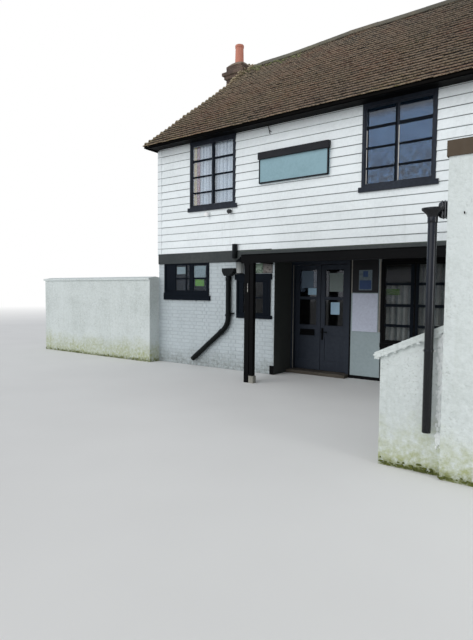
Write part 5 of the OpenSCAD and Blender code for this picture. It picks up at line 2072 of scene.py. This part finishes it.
class INN_OT_moss(bpy.types.Operator):
    """Grows moss along the foot of the rendered walls and on the ridge, with crumbled mortar"""
    bl_idname = "inn.moss"
    bl_label = "Moss"

    # How many lumps the corner by the wing, the coping's edge, the ridge and its hip have
    SCAR, COPING, MOSSY, CRUMBS = 150, 90, 110, 90

    def execute(self, context):
        chance = random.Random(31)
        places = []
        rake_low, rake_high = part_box("raking_wall")
        yard = low("yard_wall")
        lines = (((rake_low.x + 0.06, rake_low.y + 0.03), (WING_X, rake_low.y + 0.03), 70),
                 ((WING_X, WING_Y), (high("wing_left_wall").x + 3.2, WING_Y), 150),
                 ((WING_X, WING_Y), (WING_X, rake_low.y), 6),
                 ((WING_X, rake_high.y), (WING_X, FRONT), 60),
                 ((yard.x + 0.05, yard.y + 0.03), (LEFT, yard.y + 0.03), 110),
                 ((LEFT, BACK), (LEFT, FRONT), 60))
        for start, end, count in lines:
            a, b = Vector((*start, 0)), Vector((*end, 0))
            for _ in range(count):
                at = a.lerp(b, chance.random())
                wide = chance.uniform(0.006, 0.018)
                at.z = abs(chance.gauss(0, 0.020)) + wide * 0.71
                places.append(place(at, (0, 0, chance.uniform(0, 360)),
                                    (wide * 1.6, wide * 0.7, wide * 0.6)))
        strew("wall_moss", chance, places, 9, "moss_growth")
        self.scar(chance, rake_low, rake_high)
        self.ridge_end(chance, context.scene.inn_roof)
        return {"FINISHED"}

    def scar(self, chance, near, far):
        """Rough render in the corner beside the wing, and the worn edge of the coping"""
        places = []
        for _ in range(self.SCAR):
            z = chance.uniform(0.24, far.z - 0.07)
            x = WING_X - 0.030 + chance.gauss(0, 0.011)
            wide = chance.uniform(0.006, 0.015)
            places.append(place((min(x, WING_X - wide), near.y + 0.027, z), (0, 0, 0),
                                (wide, wide * 0.55, wide * chance.uniform(1.2, 2.4))))
        strew("render_scar", chance, places, 12, "fresh_paint")
        foot = extent("raking_wall", lambda co: co.y < near.y + 0.01)[0].z
        head = far.z - 0.06
        places = []
        for _ in range(self.COPING):
            share = chance.random()
            z = foot + share * (head - foot) + chance.uniform(-0.012, 0.05)
            wide = chance.uniform(0.006, 0.014)
            x = near.x + share * (far.x - near.x)
            places.append(place((x, near.y + 0.004, z), (0, 0, 0), (wide * 1.8, wide * 0.5, wide)))
        strew("coping_edge", chance, places, 13, "render_paint")

    def ridge_end(self, chance, roof):
        """Moss along the ridge from the stack, and crumbled mortar at the head of the left hip"""
        mossy = []
        crumbs = []
        for _ in range(self.MOSSY):
            x = RIDGE_X0 - 0.12 + 1.5 * chance.random() ** 1.8
            y = -abs(chance.gauss(0, 0.12))
            wide = chance.uniform(0.018, 0.046)
            z = roof_height(x, y) + 0.038 + wide * 0.2
            mossy.append(place((x, y, z), (0, 0, chance.uniform(0, 360)), (wide, wide, wide * 0.6)))
        corner, top = HIPS[0]
        for _ in range(self.CRUMBS):
            at = corner.lerp(top, 0.76 + 0.25 * chance.random() ** 0.8)
            wide = chance.uniform(0.016, 0.036)
            at += Vector((chance.gauss(0.05, 0.045), chance.gauss(-0.04, 0.04), 0))
            at.z = max(at.z + chance.uniform(0.030, 0.052), roof_height(at.x, at.y) + 0.04)
            crumbs.append(place(at, (0, 0, chance.uniform(0, 360)), (wide, wide, wide * 0.6)))
        strew("ridge_moss", chance, mossy, 14, "old_moss", roof)
        strew("ridge_crumbs", chance, crumbs, 14, "pale_mortar", roof)


# Stage

class INN_OT_stage(bpy.types.Operator):
    """Makes the floor, the light and the camera"""
    bl_idname = "inn.stage"
    bl_label = "Stage"

    # The photo's camera: how it is turned, in degrees, where it stands, and its lens
    YAW = 36.293
    PITCH = -3.232
    ROLL = 0.509
    EYE = (4.496, -9.777, 1.522)
    FOCAL_PIXELS = 500.0
    PHOTO_HEIGHT = 640.0
    SENSOR = 24.0

    def execute(self, context):
        scene = context.scene
        floor = primitive("floor", bpy.ops.mesh.primitive_circle_add, vertices=96, radius=90,
                          fill_type="NGON")
        floor.data.materials.append(self.floor_finish())
        self.sky(scene)
        bpy.ops.object.light_add(type="SUN", rotation=(math.radians(63), 0, math.radians(-20)))
        sun = bpy.context.object
        sun.name = "soft_sun"
        sun.data.energy = 1.25
        sun.data.angle = math.radians(60)
        bpy.ops.object.light_add(type="AREA", location=(12.5, -7.6, 3.2),
                                 rotation=(math.radians(90), 0, math.radians(88)))
        side = bpy.context.object
        side.name = "side_softbox"
        side.data.shape = "RECTANGLE"
        side.data.size = 2.4
        side.data.size_y = 5.0
        side.data.energy = 260
        self.camera(scene)
        scene.view_settings.view_transform = "Standard"
        return {"FINISHED"}

    def floor_finish(self):
        """A plain pale floor that passes into the white background far from the inn"""
        f = Finish("floor_plain", 0.9, Specular_IOR_Level=0.2)
        grit = f.patches(0.6, 2.0, 0.6, 0.3, 0.7)
        f.colour(f.mix(grit, shade(224, 224, 223), shade(228, 228, 227)))
        reach = f.add("VectorMath", {0: f.where}, operation="LENGTH").outputs["Value"]
        far = f.between(reach, 16.0, 42.0)
        seen = f.times(far, f.add("LightPath").outputs["Is Camera Ray"])
        white = f.add("Emission", {"Color": (1, 1, 1), "Strength": 1.0}).outputs[0]
        both = f.add("MixShader", {0: seen, 1: f.shader.outputs[0], 2: white}).outputs[0]
        f.feed(f.tree.nodes["Material Output"].inputs["Surface"], both)
        return f.material

    def sky(self, scene):
        """Even light from all sides, which the camera sees as white"""
        world = bpy.data.worlds.new("studio")
        scene.world = world
        world.use_nodes = True
        r = Recipe(world.node_tree)
        world.node_tree.nodes.clear()
        rays = r.add("LightPath").outputs
        soft = r.add("Background", {"Color": (0.96, 0.98, 1.0, 1), "Strength": 0.6})
        white = r.add("Background", {"Color": (1, 1, 1, 1), "Strength": 1.0})
        gloss = r.add("Background", {"Color": (0.62, 0.74, 1.0, 1), "Strength": 0.9})
        straight = r.reckon("MAXIMUM", rays["Is Camera Ray"], rays["Is Transmission Ray"])
        seen = r.add("MixShader", {0: straight, 1: soft.outputs[0], 2: white.outputs[0]})
        shine = r.add("MixShader", {0: rays["Is Glossy Ray"], 1: seen.outputs[0],
                                    2: gloss.outputs[0]})
        r.add("OutputWorld", {"Surface": shine.outputs[0]})

    def camera(self, scene):
        yaw, pitch, roll = (math.radians(a) for a in (self.YAW, self.PITCH, self.ROLL))
        ahead = Vector((-math.sin(yaw) * math.cos(pitch), math.cos(yaw) * math.cos(pitch),
                        math.sin(pitch)))
        right = Vector((math.cos(yaw), math.sin(yaw), 0))
        up = right.cross(ahead)
        right, up = (math.cos(roll) * right + math.sin(roll) * up,
                     math.cos(roll) * up - math.sin(roll) * right)
        bpy.ops.object.camera_add()
        camera = bpy.context.object
        camera.name = "photo_view"
        turn = Matrix((right, up, -ahead)).transposed().to_4x4()
        camera.matrix_world = Matrix.Translation(self.EYE) @ turn
        camera.data.sensor_width = self.SENSOR
        camera.data.lens = self.FOCAL_PIXELS / self.PHOTO_HEIGHT * self.SENSOR
        camera.data.clip_end = 200
        scene.camera = camera


PIECES = (INN_OT_finishes, INN_OT_weatherboards, INN_OT_brick_faces, INN_OT_roof_tiles,
          INN_OT_hip_bonnets, INN_OT_ridge, INN_OT_chimney, INN_OT_glazing_bars,
          INN_OT_curtains, INN_OT_window_papers, INN_OT_doors, INN_OT_notices, INN_OT_canopy,
          INN_OT_sign, INN_OT_pipes, INN_OT_spot_lamps, INN_OT_lantern, INN_OT_hooks,
          INN_OT_wing_trim, INN_OT_moss, INN_OT_stage)
SETTINGS = {"inn_walls": InnWalls, "inn_roof": InnRoof, "inn_joinery": InnJoinery,
            "inn_colours": InnColours}


class INN_PT_panel(bpy.types.Panel):
    """Lists the steps that make the inn's finish"""
    bl_idname = "INN_PT_panel"
    bl_label = "Weatherboarded inn"
    bl_space_type = "VIEW_3D"
    bl_region_type = "UI"
    bl_category = "Inn"

    def draw(self, context):
        for name, group in SETTINGS.items():
            box = self.layout.box()
            for setting in group.__annotations__:
                box.prop(getattr(context.scene, name), setting)
        for piece in PIECES:
            self.layout.operator(piece.bl_idname)


def register():
    for kind in (*SETTINGS.values(), *PIECES, INN_PT_panel):
        bpy.utils.register_class(kind)
    for name, group in SETTINGS.items():
        setattr(bpy.types.Scene, name, PointerProperty(type=group))


def unregister():
    for name in SETTINGS:
        delattr(bpy.types.Scene, name)
    for kind in reversed((*SETTINGS.values(), *PIECES, INN_PT_panel)):
        bpy.utils.unregister_class(kind)


def main():
    register()
    for piece in PIECES:
        group, name = piece.bl_idname.split(".")
        getattr(getattr(bpy.ops, group), name)()


if __name__ == "__main__":
    main()
